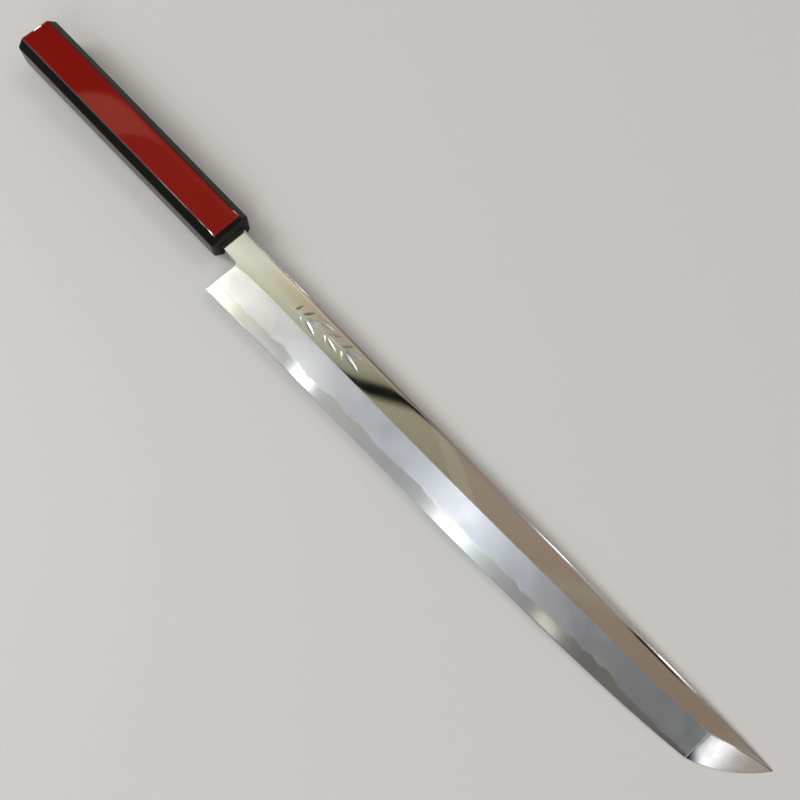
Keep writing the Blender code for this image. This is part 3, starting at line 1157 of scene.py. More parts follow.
    def crown(self, share: float, width: float) -> float:
        """How far the polished flat has rolled down.

        Args:
            share: Place across the flat, -1 at the ridge and 1 at the spine.
            width: The flat's width.

        Returns:
            The drop, in metres.
        """
        even = self.crown_tilt * share**2 / 2
        border = self.crown_spine_tilt if share > 0 else self.crown_ridge_tilt
        steep = border * abs(share) ** (self.crown_power + 1) / (self.crown_power + 1)
        return (even + steep) * width / 2


@dataclass(frozen=True)
class Leaf:
    """One chisel cut of the sprig: a narrow leaf with a V-shaped floor."""

    root: Point2
    angle: float
    length: float
    width: float
    bend: float = 0.0

    STEPS: ClassVar[int] = 10
    ABOVE: ClassVar[float] = 0.4 * MM  # how far the tool stands out of the flat
    LEAST_DEPTH: ClassVar[float] = 0.02 * MM
    DEPTH_SHARE: ClassVar[float] = 0.30  # further depth of the cut as a share of its half width
    LEAST_SHARE: ClassVar[float] = 0.06  # half width at both ends as a share of the full one
    SWELL_POWER: ClassVar[float] = 0.7  # below 1, the leaf is widest nearer to its root
    BELLY_POWER: ClassVar[float] = 0.8  # below 1, it is fuller towards its ends

    def section(self, x: float) -> list[Point2]:
        """Draws the triangle across the leaf: full a third of the way up, and fine at both ends.

        Args:
            x: The place along the leaf.

        Returns:
            Its (y, z) points.
        """
        share = x / self.length
        swell = max(0.0, math.sin(math.pi * share**self.SWELL_POWER)) ** self.BELLY_POWER
        half = self.width / 2 * max(self.LEAST_SHARE, swell)
        depth = half * self.DEPTH_SHARE + self.LEAST_DEPTH
        flare = half * (1 + self.ABOVE / depth)
        middle = self.bend * share**2
        return [(middle + flare, self.ABOVE), (middle - flare, self.ABOVE), (middle, -depth)]

    def cutter(self, surface: Callable[[float], float]) -> Piece:
        """Models the tool that cuts this leaf.

        Args:
            surface: Height of the flat at a place along the blade.

        Returns:
            The tool, in the knife's axes.
        """
        places = [self.length * i / self.STEPS for i in range(self.STEPS + 1)]
        tool = wrap_grid("cut_leaf", places, self.section)
        top = surface(self.root[0])
        slope = math.atan2(surface(self.root[0] + MM) - top, MM)
        root = Matrix.Translation((*self.root, top))
        put(tool, root @ Matrix.Rotation(-slope, 4, "Y") @ Matrix.Rotation(self.angle, 4, "Z"))
        return tool


@dataclass(frozen=True)
class BambooSprig:
    """A generic chiselled sprig of bamboo on the flat, near the handle.

    Sizes are in millimetres and degrees. A cut has the x and y of its root, its angle and its length.
    """

    canes: tuple[tuple[float, ...], ...] = (
        (42.0, -11.4, 9.0, 14.4), (56.1, -9.1, 8.0, 12.8), (68.6, -7.3, 2.0, 12.2), (56.1, -9.1, 33.0, 7.6),
    )
    cane_width: float = 0.62
    leaves: tuple[tuple[float, ...], ...] = (  # with the leaf's width
        (49.6, -9.6, 72.0, 4.6, 1.3), (53.6, -10.2, -48.0, 4.2, 1.4), (56.8, -9.7, -17.0, 9.2, 2.0),
        (57.6, -8.3, 12.0, 7.4, 1.7), (54.0, -8.6, 52.0, 6.2, 1.6), (62.6, -4.9, 9.0, 8.8, 1.9),
        (62.0, -4.4, 38.0, 4.8, 1.4), (60.8, -4.6, 112.0, 3.3, 1.2), (68.2, -8.2, -43.0, 5.0, 1.6),
        (70.0, -8.2, -13.0, 9.0, 1.9), (69.6, -6.5, 33.0, 7.0, 1.6), (79.4, -7.8, -38.0, 5.6, 1.7),
        (81.6, -7.3, -8.0, 11.2, 2.2), (81.0, -6.2, 19.0, 9.6, 2.0), (78.6, -6.1, 49.0, 6.2, 1.6),
    )
    stray: float = 0.6  # how far a leaf's tip bends aside at most
    seed: int = 5

    def cuts(self) -> list[Leaf]:
        """Lays out the canes and leaves.

        Returns:
            Every cut of the sprig.
        """
        draw = random.Random(self.seed)
        rows = [(*cane, self.cane_width, 0.0) for cane in self.canes]
        rows += [(*leaf, draw.uniform(-self.stray, self.stray)) for leaf in self.leaves]
        return [
            Leaf((x * MM, y * MM), math.radians(angle), length * MM, width * MM, bend * MM)
            for x, y, angle, length, width, bend in rows
        ]


@dataclass
class Blade:
    """The two steels of the blade, with neck and tang."""

    form: BladeForm = field(default_factory=BladeForm)
    sprig: BambooSprig = field(default_factory=BambooSprig)
    neck_height: float = 14.0 * MM
    neck_flare: float = 0.2 * MM  # how much deeper the neck is beside the choil
    shoulder_gap: float = 0.3 * MM  # between the handle and the blade
    steel_start: float = 5.0 * MM  # where the hard steel begins, in the neck
    choil_slant: float = 2.2 * MM  # how far the heel leans towards the handle
    choil_radius: float = 3.0 * MM
    choil_steps: int = 14
    hollow_depth: float = 0.3 * MM
    rim_spine: float = 2.5 * MM  # width of the hollow back's flat rims
    rim_edge: float = 2.0 * MM
    rim_most: float = 0.25  # share of the blade's height that a rim takes at most
    hollow_from_heel: float = 8.0 * MM
    hollow_from_point: float = 6.0 * MM
    hollow_fade: float = 22.0 * MM  # length over which the hollow comes in and runs out
    hollow_rows: int = 14
    flat_rows: tuple[float, ...] = (  # from the spine to the ridge
        1.0, 0.94, 0.86, 0.74, 0.5, 0.0, -0.5, -0.74, -0.86, -0.94, -1.0,
    )
    spine_rows: Triple = (0.2, 0.5, 0.8)
    spine_belly: float = 0.25  # how much the spine's eased corner bulges
    body_steps: int = 150
    point_steps: int = 30
    tang_length: float = 108.0 * MM
    tang_shoulder: float = 1.3 * MM  # how much the tang is lower than the neck on either side, and thinner
    tang_face_step: float = 0.3 * MM
    tang_end_height: float = 5.5 * MM
    tang_end_thickness: float = 2.4 * MM
    tang_root: float = 3.0 * MM  # how far the tang runs into the neck
    margin: float = 5.0 * MM  # how far a cutting tool stands out
    weld_step: float = 0.01 * MM
    keen_parts: float = 12.0  # the keen edge takes one part in this many of the strip at most
    keen_lift: float = 0.965  # a bevel polygon whose normal rises less is part of the keen edge
    back_lift: float = -0.5  # one that rises less than this is part of the back,
    side_lift: float = 0.6  # less than this, of the spine,
    flat_lift: float = 0.99  # and less than this, or this much sunk, of a cut in the flat
    least_sunk: float = 0.02 * MM
    sharp_above: float = 1.2  # degrees

    @property
    def axis(self) -> Vector:
        """A point of the axis that tang and handle share."""
        return Vector((0.0, -self.neck_height / 2, self.form.neck_thickness / 2))

    def stations(self, start: float) -> list[float]:
        """Places along the blade from a start to the tip."""
        line, land, tip = self.form.point_start, self.form.cross_land, self.form.length
        return spread(start, line - land, self.body_steps) + spread(line + land, tip, self.point_steps)

    def iron_section(self, x: float) -> list[Point2]:
        """Draws the soft iron: eased spine, crowned flat, the bevel's upper part and the weld.

        Args:
            x: The place along the blade.

        Returns:
            Its (y, z) points.
        """
        form = self.form
        top = form.thickness(x)
        bottom = form.steel_height(x) if x >= self.steel_start else 0.0
        ridge = form.ridge_depth(x)
        ease, fall = form.spine_facet(x)
        wear = form.ridge_wear(x)
        width = ridge - wear - ease
        rolled = form.crown(1.0, width)
        worn = between(top, form.edge_land, wear / (form.edge_depth(x) - ridge))
        ring = [(0.0, bottom), (0.0, top - fall)]
        for share in self.spine_rows:
            drop = (fall - rolled) * (1 - share) * (1 - self.spine_belly * share)
            ring.append((-ease * share, top - rolled - drop))
        ring += [(-ease - width * (1 - share) / 2, top - form.crown(share, width))
                 for share in self.flat_rows]
        return ring + [(-ridge - wear, worn), (-form.bevel_depth(x, bottom), bottom)]

    def steel_section(self, x: float) -> list[Point2]:
        """Draws the hard steel: the weld, the strip that shows, the edge and the hollow back.

        Args:
            x: The place along the blade.

        Returns:
            Its (y, z) points.
        """
        form = self.form
        top = form.steel_height(x)
        edge = form.edge_depth(x)
        near = min(self.rim_spine, edge * self.rim_most)
        far = edge - min(self.rim_edge, edge * self.rim_most)
        seam = form.bevel_depth(x, top)
        keen = min(form.keen_width, (edge - seam) / self.keen_parts) / (edge - seam)
        ring = [(0.0, 0.0), (0.0, top), (-seam, top)]
        ring.append((-between(edge, seam, keen), between(form.edge_land, top, keen)))
        drop = form.keen_drop * keen * (edge - seam) / form.keen_width
        ring += [(-edge, form.edge_land - drop), (-edge, 0.0)]
        start = form.heel_place + self.hollow_from_heel
        inside = min(x - start, form.point_start - self.hollow_from_point - x) / self.hollow_fade
        reach = math.sin(math.pi / 2 * min(1.0, max(0.0, inside)))
        for i in range(self.hollow_rows + 1):
            share = i / self.hollow_rows
            depth = self.hollow_depth * reach * (1 - (2 * share - 1) ** 2)
            ring.append((-between(far, near, share), depth))
        return ring

    def choil_cutter(self) -> Piece:
        """Models the tool that leaves the neck above it and the heel in front of it.

        Returns:
            The tool, in the knife's axes.
        """
        form = self.form
        bottom = -form.heel_height - self.margin
        tool = add_bar("cut_choil", (-self.margin, bottom, -self.margin),
                       (form.heel_place, -self.neck_height, form.neck_thickness + self.margin))
        slant = self.choil_slant * (form.heel_height + self.margin - self.neck_height)
        slant /= form.heel_height - self.neck_height
        front = form.heel_place - MERGE
        with editing(tool):
            pick(tool, Element.VERT, lambda v: v.co.x > front and v.co.y < bottom + MERGE)
            bpy.ops.transform.translate(value=(-slant, 0, 0))
            pick(tool, Element.VERT, lambda v: v.co.x > front and v.co.y > -self.neck_height - MERGE)
            bpy.ops.transform.translate(value=(0, -self.neck_flare, 0))
        inner = -self.neck_height - self.neck_flare
        round_edges(tool, lambda e: all(v.co.x > front and abs(v.co.y - inner) < MERGE for v in e.verts),
                    self.choil_radius, self.choil_steps)
        return tool

    def tang(self, front: float, back: float, margin: float = 0.0) -> Piece:
        """Models the tapered tang, or with a margin the space round it.

        Args:
            front: Its place along X nearest the blade.
            back: Its far end.
            margin: How much thicker it is all round.

        Returns:
            The bar.
        """
        sizes = []
        for x in (front, back):
            share = -x / self.tang_length
            height = between(self.neck_height - 2 * self.tang_shoulder, self.tang_end_height, share) / 2
            thick = self.form.neck_thickness - 2 * self.tang_face_step
            depth = between(thick, self.tang_end_thickness, share) / 2
            sizes.append(Vector((0.0, height + margin, depth + margin)))
        centre = self.axis
        bar = add_bar("tang", Vector((back, 0, 0)) + centre - sizes[0],
                      Vector((front, 0, 0)) + centre + sizes[0])
        resize_end(bar, back, centre, sizes[1].y / sizes[0].y, sizes[1].z / sizes[0].z)
        return bar

    def facet_of(self, centre: Vector, normal: Vector) -> Facet:
        """Names the ground face that a polygon belongs to.

        Args:
            centre: Its centre.
            normal: Its normal.

        Returns:
            The facet, whose number is its material slot.
        """
        form = self.form
        ridge = form.ridge_depth(centre.x) - form.ridge_wear(centre.x)
        ease = form.spine_facet(centre.x)[0]
        if normal.z < self.back_lift:
            return Facet.BACK
        if normal.z < self.side_lift or -centre.y < ease:
            return Facet.SPINE
        if -centre.y > form.edge_depth(centre.x) - form.keen_width and normal.z < self.keen_lift:
            return Facet.SPINE if centre.x < form.point_start else Facet.POINT
        if -centre.y < ridge:
            sunk = centre.z < form.thickness(centre.x) - self.least_sunk
            return Facet.GROOVE if sunk or normal.z < self.flat_lift else Facet.FLAT
        on_cross_line = abs(centre.x - form.point_start) < form.cross_land
        if on_cross_line or -centre.y < ridge + 2 * form.ridge_wear(centre.x):
            return Facet.LAND
        return Facet.POINT if centre.x > form.point_start else Facet.BEVEL

    def dress(self, piece: Piece, finishes: dict[Facet, bpy.types.Material]) -> None:
        """Gives every polygon its finish and measures the blade into a UV map.

        Args:
            piece: The iron or the steel, in the knife's axes.
            finishes: The materials of the facets.
        """
        mesh = piece.data
        mesh.materials.clear()
        for facet in Facet:
            mesh.materials.append(finishes[facet])
        while mesh.uv_layers:
            mesh.uv_layers.remove(mesh.uv_layers[0])
        layer = mesh.uv_layers.new(name=BLADE_MAP)
        for polygon in mesh.polygons:
            facet = self.facet_of(polygon.center, polygon.normal)
            polygon.material_index = facet.value
            line = self.form.ridge_depth if facet is Facet.POINT else self.form.seam_depth
            for index in polygon.loop_indices:
                place = mesh.vertices[mesh.loops[index].vertex_index].co
                layer.data[index].uv = (place.x / MM, (place.y + line(place.x)) / MM)

    def build(self, lay: Lay) -> None:
        """Models and dresses both steels.

        Args:
            lay: How the knife lies.
        """
        finishes = {facet: finish.make(lay) for facet, finish in BLADE_FINISHES.items()}
        choil = self.choil_cutter()
        neck = [self.shoulder_gap, self.steel_start - self.weld_step]
        iron = wrap_grid("iron_of_the_blade", neck + self.stations(self.steel_start), self.iron_section)
        join(iron, choil, Join.CUT, keep_tool=True)
        join(iron, self.tang(self.tang_root, -self.tang_length), Join.ADD)
        for cut in self.sprig.cuts():
            join(iron, cut.cutter(self.form.thickness), Join.CUT)
        steel = wrap_grid("steel_of_the_edge", self.stations(self.steel_start), self.steel_section)
        join(steel, choil, Join.CUT)
        rows = ((iron, "jigane_soft_iron", "soft_iron"), (steel, "hagane_hard_steel", "hard_steel"))
        for piece, node, slot in rows:
            self.dress(piece, finishes)
            hand_over(piece, lay, node, slot, self.sharp_above)


# Handle


@dataclass
class Handle:
    """The octagonal handle: wood core, black lacquer, red lacquer on both side faces, and the seal."""

    blade: Blade
    length: float = 154.0 * MM
    height_front: float = 23.2 * MM
    height_butt: float = 23.8 * MM
    thickness_front: float = 18.8 * MM
    thickness_butt: float = 19.6 * MM
    bevel: float = 3.8 * MM
    edge_round: float = 0.55 * MM
    edge_steps: int = 5
    front_round: float = 1.8 * MM
    butt_round: float = 2.4 * MM
    end_steps: int = 8
    butt_dome: float = 0.9 * MM
    dome_steps: int = 9
    black_coat: float = 0.55 * MM  # thickness of the coats
    red_coat: float = 0.25 * MM
    red_rim: float = 0.12 * MM  # how far the red ends before the facet's border, the front and the butt
    red_front: float = 2.0 * MM
    red_butt: float = 1.6 * MM
    mortise_clearance: float = 0.8 * MM
    mortise_end: float = 5.0 * MM  # how far the mortise runs on behind the tang
    seal_depth: float = 8.0 * MM
    seal_gap: float = 0.1 * MM
    seal_sunk: float = 0.25 * MM
    seal_round: float = 0.18 * MM
    seal_steps: int = 3
    least_round: float = 0.05 * MM
    least_run: float = 0.02 * MM  # an edge that runs less along X lies across the handle
    least_turn: float = 5.0  # degrees; an edge that turns less stays as it is
    outline_slack: float = 0.01 * MM
    facing: float = 0.99  # a face whose normal has this much along X closes an end
    red_lift: float = 0.2  # and one with this much along Z is part of the skin under a red face
    sharp_above: float = 24.0  # degrees

    def half_height(self, x: float) -> float:
        """Half the handle's height at a place."""
        return between(self.height_front, self.height_butt, -x / self.length) / 2

    def body(self, name: str, inset: float) -> Piece:
        """Models the octagonal bar with its rounded edges, front and butt.

        Args:
            name: The object's name.
            inset: How much smaller it is on every side.

        Returns:
            The closed bar.
        """
        centre = self.blade.axis
        butt = -self.length + self.butt_dome + inset
        half = Vector((0.0, self.height_front / 2 - inset, self.thickness_front / 2 - inset))
        bar = add_bar(name, Vector((butt, 0, 0)) + centre - half, Vector((-inset, 0, 0)) + centre + half)
        resize_end(bar, butt, centre, (self.height_butt / 2 - inset) / half.y,
                   (self.thickness_butt / 2 - inset) / half.z)
        bevel = self.bevel - inset * (2 - math.sqrt(2))
        round_edges(bar, lambda edge: run_along(edge) > self.length / 2, bevel, 1)
        round_edges(bar, stands_at(-inset), self.front_round, self.end_steps)
        round_edges(bar, stands_at(butt), self.butt_round, self.end_steps)
        turn = math.radians(self.least_turn)
        round_edges(bar, lambda edge: run_along(edge) > self.least_run and edge.calc_face_angle(0.0) > turn,
                    max(self.least_round, self.edge_round - inset), self.edge_steps)
        self.dome(bar, butt)
        return bar

    def dome(self, bar: Piece, butt: float) -> None:
        """Raises the butt's face to a low dome, ring by ring.

        Args:
            bar: The handle's bar.
            butt: The place of its flat butt face.
        """
        shares = [i / self.dome_steps for i in range(self.dome_steps)]
        centre = Vector((butt, *self.blade.axis.yz))
        with editing(bar):
            pick(bar, Element.FACE, lambda face: face.normal.x < -self.facing
                 and abs(face.calc_center_median().x - butt) < MERGE)
            for near, far in zip(shares, shares[1:]):
                rise = self.butt_dome * (far**2 - near**2 - 2 * (far - near))
                bpy.ops.mesh.extrude_region_move(TRANSFORM_OT_translate={"value": (rise, 0, 0)})
                size = (1 - far) / (1 - near)
                bpy.ops.transform.resize(value=(1, size, size), center_override=centre)

    def mark_red(self, bar: Piece) -> None:
        """Cuts the outline of both red faces into the skin of the bar.

        Args:
            bar: The handle's bar.
        """
        axis = self.blade.axis
        slope = (self.height_butt - self.height_front) / 2 / self.length
        with editing(bar):
            for side in (1, -1):
                half = self.half_height(0.0) - self.bevel - self.red_rim
                bpy.ops.mesh.select_all(action="SELECT")
                bpy.ops.mesh.bisect(plane_co=(0, axis.y + side * half, axis.z), plane_no=(slope, side, 0))
            for x in (-self.red_front, -self.length + self.red_butt):
                bpy.ops.mesh.select_all(action="SELECT")
                bpy.ops.mesh.bisect(plane_co=(x, 0, 0), plane_no=(1, 0, 0))

    def red_faces(self, side: int) -> Callable[[bmesh.types.BMFace], bool]:
        """Makes the test for the skin under one red face.

        Args:
            side: 1 for the face over the bevelled side of the blade, -1 for the other.

        Returns:
            The test.
        """
        axis = self.blade.axis

        def wanted(face: bmesh.types.BMFace) -> bool:
            """Tells whether a face lies inside the red outline.

            Args:
                face: The face.

            Returns:
                The answer.
            """
            place = face.calc_center_median()
            half = self.half_height(place.x) - self.bevel - self.red_rim + self.outline_slack
            inside = -self.length + self.red_butt < place.x < -self.red_front
            return inside and abs(place.y - axis.y) < half and face.normal.z * side > self.red_lift

        return wanted

    def red_skin(self, bar: Piece, side: int, name: str) -> Piece:
        """Lifts the skin under one red face off the bar and sinks the bar there.

        Args:
            bar: The black body with the outline marked.
            side: Which face.
            name: The new piece's name.

        Returns:
            The red coat as a closed thin piece.
        """
        before = set(bpy.data.objects)
        with editing(bar):
            pick(bar, Element.FACE, self.red_faces(side))
            bpy.ops.mesh.duplicate()
            bpy.ops.mesh.separate(type="SELECTED")
            pick(bar, Element.FACE, self.red_faces(side))
            bpy.ops.mesh.extrude_region_move(TRANSFORM_OT_translate={"value": (0, 0, -side * self.red_coat)})
        skin = (set(bpy.data.objects) - before).pop()
        skin.name = name
        solid = skin.modifiers.new("coat", "SOLIDIFY")
        solid.thickness = self.red_coat
        solid.offset = -1.0
        activate(skin)
        bpy.ops.object.modifier_apply(modifier=solid.name)
        return skin

    def seal(self) -> Piece:
        """Models the resin that closes the mouth round the tang, a little sunk and with soft edges.

        Returns:
            The seal.
        """
        blade = self.blade
        collar = blade.tang(-self.seal_sunk, -self.seal_depth, self.mortise_clearance - self.seal_gap)
        round_edges(collar, stands_at(-self.seal_sunk), self.seal_round, self.seal_steps)
        join(collar, blade.tang(blade.margin, -self.seal_depth - blade.margin, self.seal_gap), Join.CUT)
        collar.name = "seal_of_the_mouth"
        return collar

    def build(self, lay: Lay) -> None:
        """Models and dresses coats and seal, and dresses the wood core.

        Args:
            lay: How the knife lies.
        """
        coat = self.body("black_coat", 0.0)
        self.mark_red(coat)
        sides = {"omote": 1, "ura": -1}
        reds = {name: self.red_skin(coat, side, f"red_coat_{name}") for name, side in sides.items()}
        join(coat, self.body("cut_wood_space", self.black_coat), Join.CUT)
        blade = self.blade
        mortise = blade.tang(blade.margin, -blade.tang_length - self.mortise_end, self.mortise_clearance)
        join(coat, mortise, Join.CUT)
        black, red = BLACK_LACQUER.make(lay), RED_LACQUER.make(lay)
        rows = [(coat, "handle_black_lacquer", "black_lacquer", black)]
        rows += [(skin, f"handle_red_lacquer_{name}", "red_lacquer", red) for name, skin in reds.items()]
        rows.append((self.seal(), "tang_seal_resin", "resin", SEAL_RESIN.make(lay)))
        for piece, node, slot, material in rows:
            piece.data.materials.clear()
            piece.data.materials.append(material)
            hand_over(piece, lay, node, slot, self.sharp_above)
        core = frame["nodes"]["handle_core_wood"]
        core.data.materials.clear()
        core.data.materials.append(HO_WOOD.make(lay))


# Studio


@dataclass(frozen=True)
class Lamp:
    """A soft rectangular lamp that shines at the knife."""

    name: str
    place: Sequence[float]
    size: Point2  # across and along
    radiance: float
    colour: Colour = WHITE
    aim: Sequence[float] = (0.0, 0.0, 0.0)
    along: Sequence[float] = ACROSS
    only_mirrored: bool = False

    def hang(self) -> None:
        """Adds the lamp, unseen by the camera."""
        light = bpy.data.lights.new(self.name, "AREA")
        light.shape = "RECTANGLE"
        light.size, light.size_y = self.size
        light.color = self.colour
        light.energy = self.radiance * math.pi * self.size[0] * self.size[1]
        lamp = bpy.data.objects.new(self.name, light)
        bpy.context.scene.collection.objects.link(lamp)
        back = (Vector(self.place) - Vector(self.aim)).normalized()
        across = Vector(self.along).cross(back).normalized()
        lamp.matrix_world = Matrix((across, back.cross(across), back)).transposed().to_4x4()
        lamp.location = self.place
        lamp.visible_camera = False
        lamp.visible_diffuse = not self.only_mirrored


@dataclass(frozen=True)
class Arch:
    """A patch of sky with a round upper left corner, which runs on level to the right."""

    centre: Point2
    radii: Point2
    power: float
    soft: float = 0.07

    def mask(self, graph: Graph, east: Socket, row: Socket) -> Socket:
        """Masks the patch.

        Args:
            graph: The sky's tree.
            east: The direction along X.
            row: The direction along Y, levelled.

        Returns:
            The mask.
        """
        (x, y), (wide, high) = self.centre, self.radii
        left = graph.math("MAXIMUM", graph.math("MULTIPLY_ADD", east, -1 / wide, x / wide), 0.0)
        up = graph.math("MAXIMUM", graph.math("MULTIPLY_ADD", row, 1 / high, -y / high), 0.0)
        total = graph.math("ADD", *(graph.math("POWER", part, self.power) for part in (left, up)))
        return graph.remap(total, 1 - self.soft, 1 + self.soft, 1.0, 0.0)


@dataclass(frozen=True)
class Sky:
    """The soft sky that lights the knife and that its polished faces mirror.

    A place in it is given by the parts of its direction along X (east), Y (north) and Z (up). A span is a
    stretch of east, and rows are a stretch of north. A third number is half the width of their borders.
    """

    stops_range: Point2 = (-0.7, 0.75)
    north_bend: float = 1.4  # how far the bands slant on the spine's side
    north_row: float = 0.2
    north_stops: Stops = (
        (-0.40, (0.80, 0.79, 0.68)), (-0.375, (0.87, 0.90, 0.76)), (-0.357, (0.88, 0.92, 0.79)),
        (-0.338, (0.77, 0.80, 0.67)), (-0.30, (0.60, 0.58, 0.44)), (-0.265, (0.50, 0.49, 0.40)),
        (-0.237, (0.45, 0.44, 0.35)), (-0.209, (0.35, 0.34, 0.26)), (-0.194, (0.27, 0.245, 0.18)),
        (-0.184, (0.006, 0.008, 0.006)), (-0.166, (0.006, 0.008, 0.006)), (-0.151, (0.36, 0.315, 0.235)),
        (-0.08, (0.34, 0.27, 0.215)), (0.0, (0.345, 0.255, 0.21)), (0.09, (0.325, 0.23, 0.19)),
        (0.12, (0.34, 0.275, 0.225)), (0.15, (0.31, 0.22, 0.18)), (0.30, (0.29, 0.20, 0.165)),
        (0.40, (0.31, 0.24, 0.20)), (0.50, (0.36, 0.30, 0.26)),
    )
    south_stops: Stops = (
        (-0.62, (0.30, 0.27, 0.25)), (-0.46, (0.95, 0.90, 0.84)), (-0.345, (1.12, 1.03, 0.87)),
        (-0.315, (0.44, 0.44, 0.41)), (-0.24, (0.43, 0.445, 0.455)), (-0.21, (0.51, 0.535, 0.56)),
        (-0.17, (0.47, 0.475, 0.485)), (-0.105, (0.40, 0.41, 0.43)), (-0.055, (0.44, 0.49, 0.53)),
        (-0.032, (0.88, 0.93, 0.97)), (-0.014, (2.50, 2.55, 2.60)), (0.000, (2.40, 2.50, 2.60)),
        (0.014, (1.05, 1.20, 1.32)), (0.026, (0.68, 0.80, 0.88)), (0.052, (0.47, 0.48, 0.51)),
        (0.125, (0.24, 0.245, 0.25)), (0.20, (0.19, 0.19, 0.19)), (0.24, (0.225, 0.225, 0.225)),
        (0.30, (0.135, 0.133, 0.135)), (0.35, (0.085, 0.085, 0.085)), (0.405, (0.10, 0.10, 0.10)),
        (0.42, (1.50, 1.55, 1.62)), (0.432, (2.10, 2.16, 2.24)), (0.455, (1.62, 1.66, 1.71)),
        (0.470, (0.95, 0.94, 0.94)), (0.485, (0.50, 0.48, 0.45)), (0.50, (0.39, 0.36, 0.325)),
        (0.55, (0.38, 0.345, 0.305)), (0.70, (0.34, 0.27, 0.24)),
    )
    wall_stops: Stops = (
        (-0.41, (0.30, 0.30, 0.34)), (-0.355, (0.40, 0.39, 0.40)), (-0.285, (0.27, 0.26, 0.24)),
        (-0.205, (0.19, 0.18, 0.17)), (-0.06, (0.28, 0.26, 0.23)), (0.06, (0.40, 0.37, 0.32)),
        (0.105, (0.49, 0.46, 0.41)), (0.16, (0.42, 0.39, 0.35)), (0.26, (0.27, 0.25, 0.22)),
    )
    ceiling_rows: Point2 = (0.02, 0.12)  # where the southern side passes into the northern one
    wall_rows: Point2 = (0.35, 0.5)  # and that one into the wall
    tint_slope: float = 0.11  # the row where the northern side turns from green to pink rises with east,
    tint_west: float = 0.3  # from this far west
    tint_soft: float = 0.009
    green_tint: Colour = (0.98, 1.09, 1.04)
    pink_tint: Colour = (1.02, 0.91, 0.90)
    heel_span: Point2 = (-0.25, -0.19)  # west of this the tints are those near the heel
    heel_green: Colour = (1.01, 1.08, 1.03)
    heel_pink: Colour = (0.88, 0.77, 0.71)
    neck_span: Point2 = (-0.35, -0.325)  # and west of this they are white and grey
    neck_grey: Colour = (0.85, 0.85, 0.84)
    flag: Colour = (0.015, 0.015, 0.012)  # a dark flag, mirrored along the spine
    flag_rows: Point2 = (0.022, 0.028)  # above the northern side's own row
    flag_span: Triple = (0.20, 0.268, 0.012)
    handle_span: Point2 = (-0.404, -0.396)  # west of this: dusk, a warm curtain, a dim room in the red face
    handle_slope: float = 0.135
    handle_row: float = 0.0712
    dusk: Colour = (0.05, 0.045, 0.04)
    curtain: Colour = (1.45, 0.69, 0.52)
    curtain_edge: Arch = Arch((-0.5314, 0.120), (0.0487, 0.0756), 2.5)
    room: Colour = (0.27, 0.17, 0.12)
    room_edge: Arch = Arch((-0.4940, 0.120), (0.0451, 0.0739), 2.0)
    ridge_light: Colour = (1.2, 1.2, 1.05)  # mirrored by the worn ridge near the heel
    ridge_light_rows: Triple = (-0.06, 0.03, 0.02)
    ridge_light_span: Point2 = (-0.26, -0.24)
    horizon: Colour = (0.25, 0.25, 0.25)
    horizon_rise: Point2 = (0.35, 0.7)

    def tint(self, graph: Graph, east: Socket, row: Socket) -> Socket:
        """Tints the northern side: green low down and pink above, and paler far to the west.

        Args:
            graph: The sky's tree.
            east: The direction along X.
            row: The direction along Y, from the northern side's own row.

        Returns:
            The tint.
        """
        turn = graph.math("MULTIPLY_ADD", east, self.tint_slope, self.tint_west * self.tint_slope)
        far_up = graph.remap(graph.math("SUBTRACT", row, turn), -self.tint_soft, self.tint_soft)
        plain = graph.mix(far_up, self.green_tint, self.pink_tint)
        heel = graph.mix(far_up, self.heel_green, self.heel_pink)
        neck = graph.mix(far_up, WHITE, self.neck_grey)
        near_heel = graph.mix(graph.remap(east, *self.neck_span), neck, heel)
        return graph.mix(graph.remap(east, *self.heel_span), near_heel, plain)

    def northern(self, graph: Graph, east: Socket, north: Socket) -> Socket:
        """Paints the side that the flat and the red face mirror.

        Args:
            graph: The sky's tree.
            east: The direction along X.
            north: The direction along Y.

        Returns:
            The colour.
        """
        row = graph.math("SUBTRACT", north, self.north_row)
        slanted = graph.math("MULTIPLY_ADD", row, -self.north_bend, east)
        bands = graph.ramp(slanted, self.north_stops, *self.stops_range)
        tinted = graph.vector("MULTIPLY", bands, self.tint(graph, east, row))
        in_rows, in_span = graph.remap(row, *self.flag_rows), graph.inside(east, *self.flag_span)
        eastern = graph.mix(graph.math("MULTIPLY", in_rows, in_span), tinted, self.flag)
        level = graph.math("MULTIPLY_ADD", east, self.handle_slope, self.handle_row)
        levelled = graph.math("SUBTRACT", north, level)
        inner = graph.mix(self.room_edge.mask(graph, east, levelled), self.curtain, self.room)
        western = graph.mix(self.curtain_edge.mask(graph, east, levelled), self.dusk, inner)
        return graph.mix(graph.remap(east, *self.handle_span), western, eastern)

    def paint(self) -> None:
        """Builds the sky as the scene's world."""
        world = bpy.data.worlds.new("soft_sky")
        world.use_nodes = True
        bpy.context.scene.world = world
        graph = Graph(world.node_tree)
        east, north, up = graph.split(graph.add("ShaderNodeTexCoord").outputs["Generated"])
        bands = graph.ramp(east, self.south_stops, *self.stops_range)
        beside = graph.math("MULTIPLY", graph.inside(north, *self.ridge_light_rows),
                            graph.remap(east, *self.ridge_light_span, 1.0, 0.0))
        southern = graph.mix(beside, bands, self.ridge_light)
        northern = self.northern(graph, east, north)
        ceiling = graph.mix(graph.remap(north, *self.ceiling_rows), southern, northern)
        low = graph.mix(graph.remap(up, *self.horizon_rise), self.horizon, ceiling)
        wall = graph.ramp(east, self.wall_stops, *self.stops_range)
        sky = graph.mix(graph.remap(north, *self.wall_rows), low, wall)
        graph.fill(world.node_tree.nodes["Background"].inputs["Color"], sky)


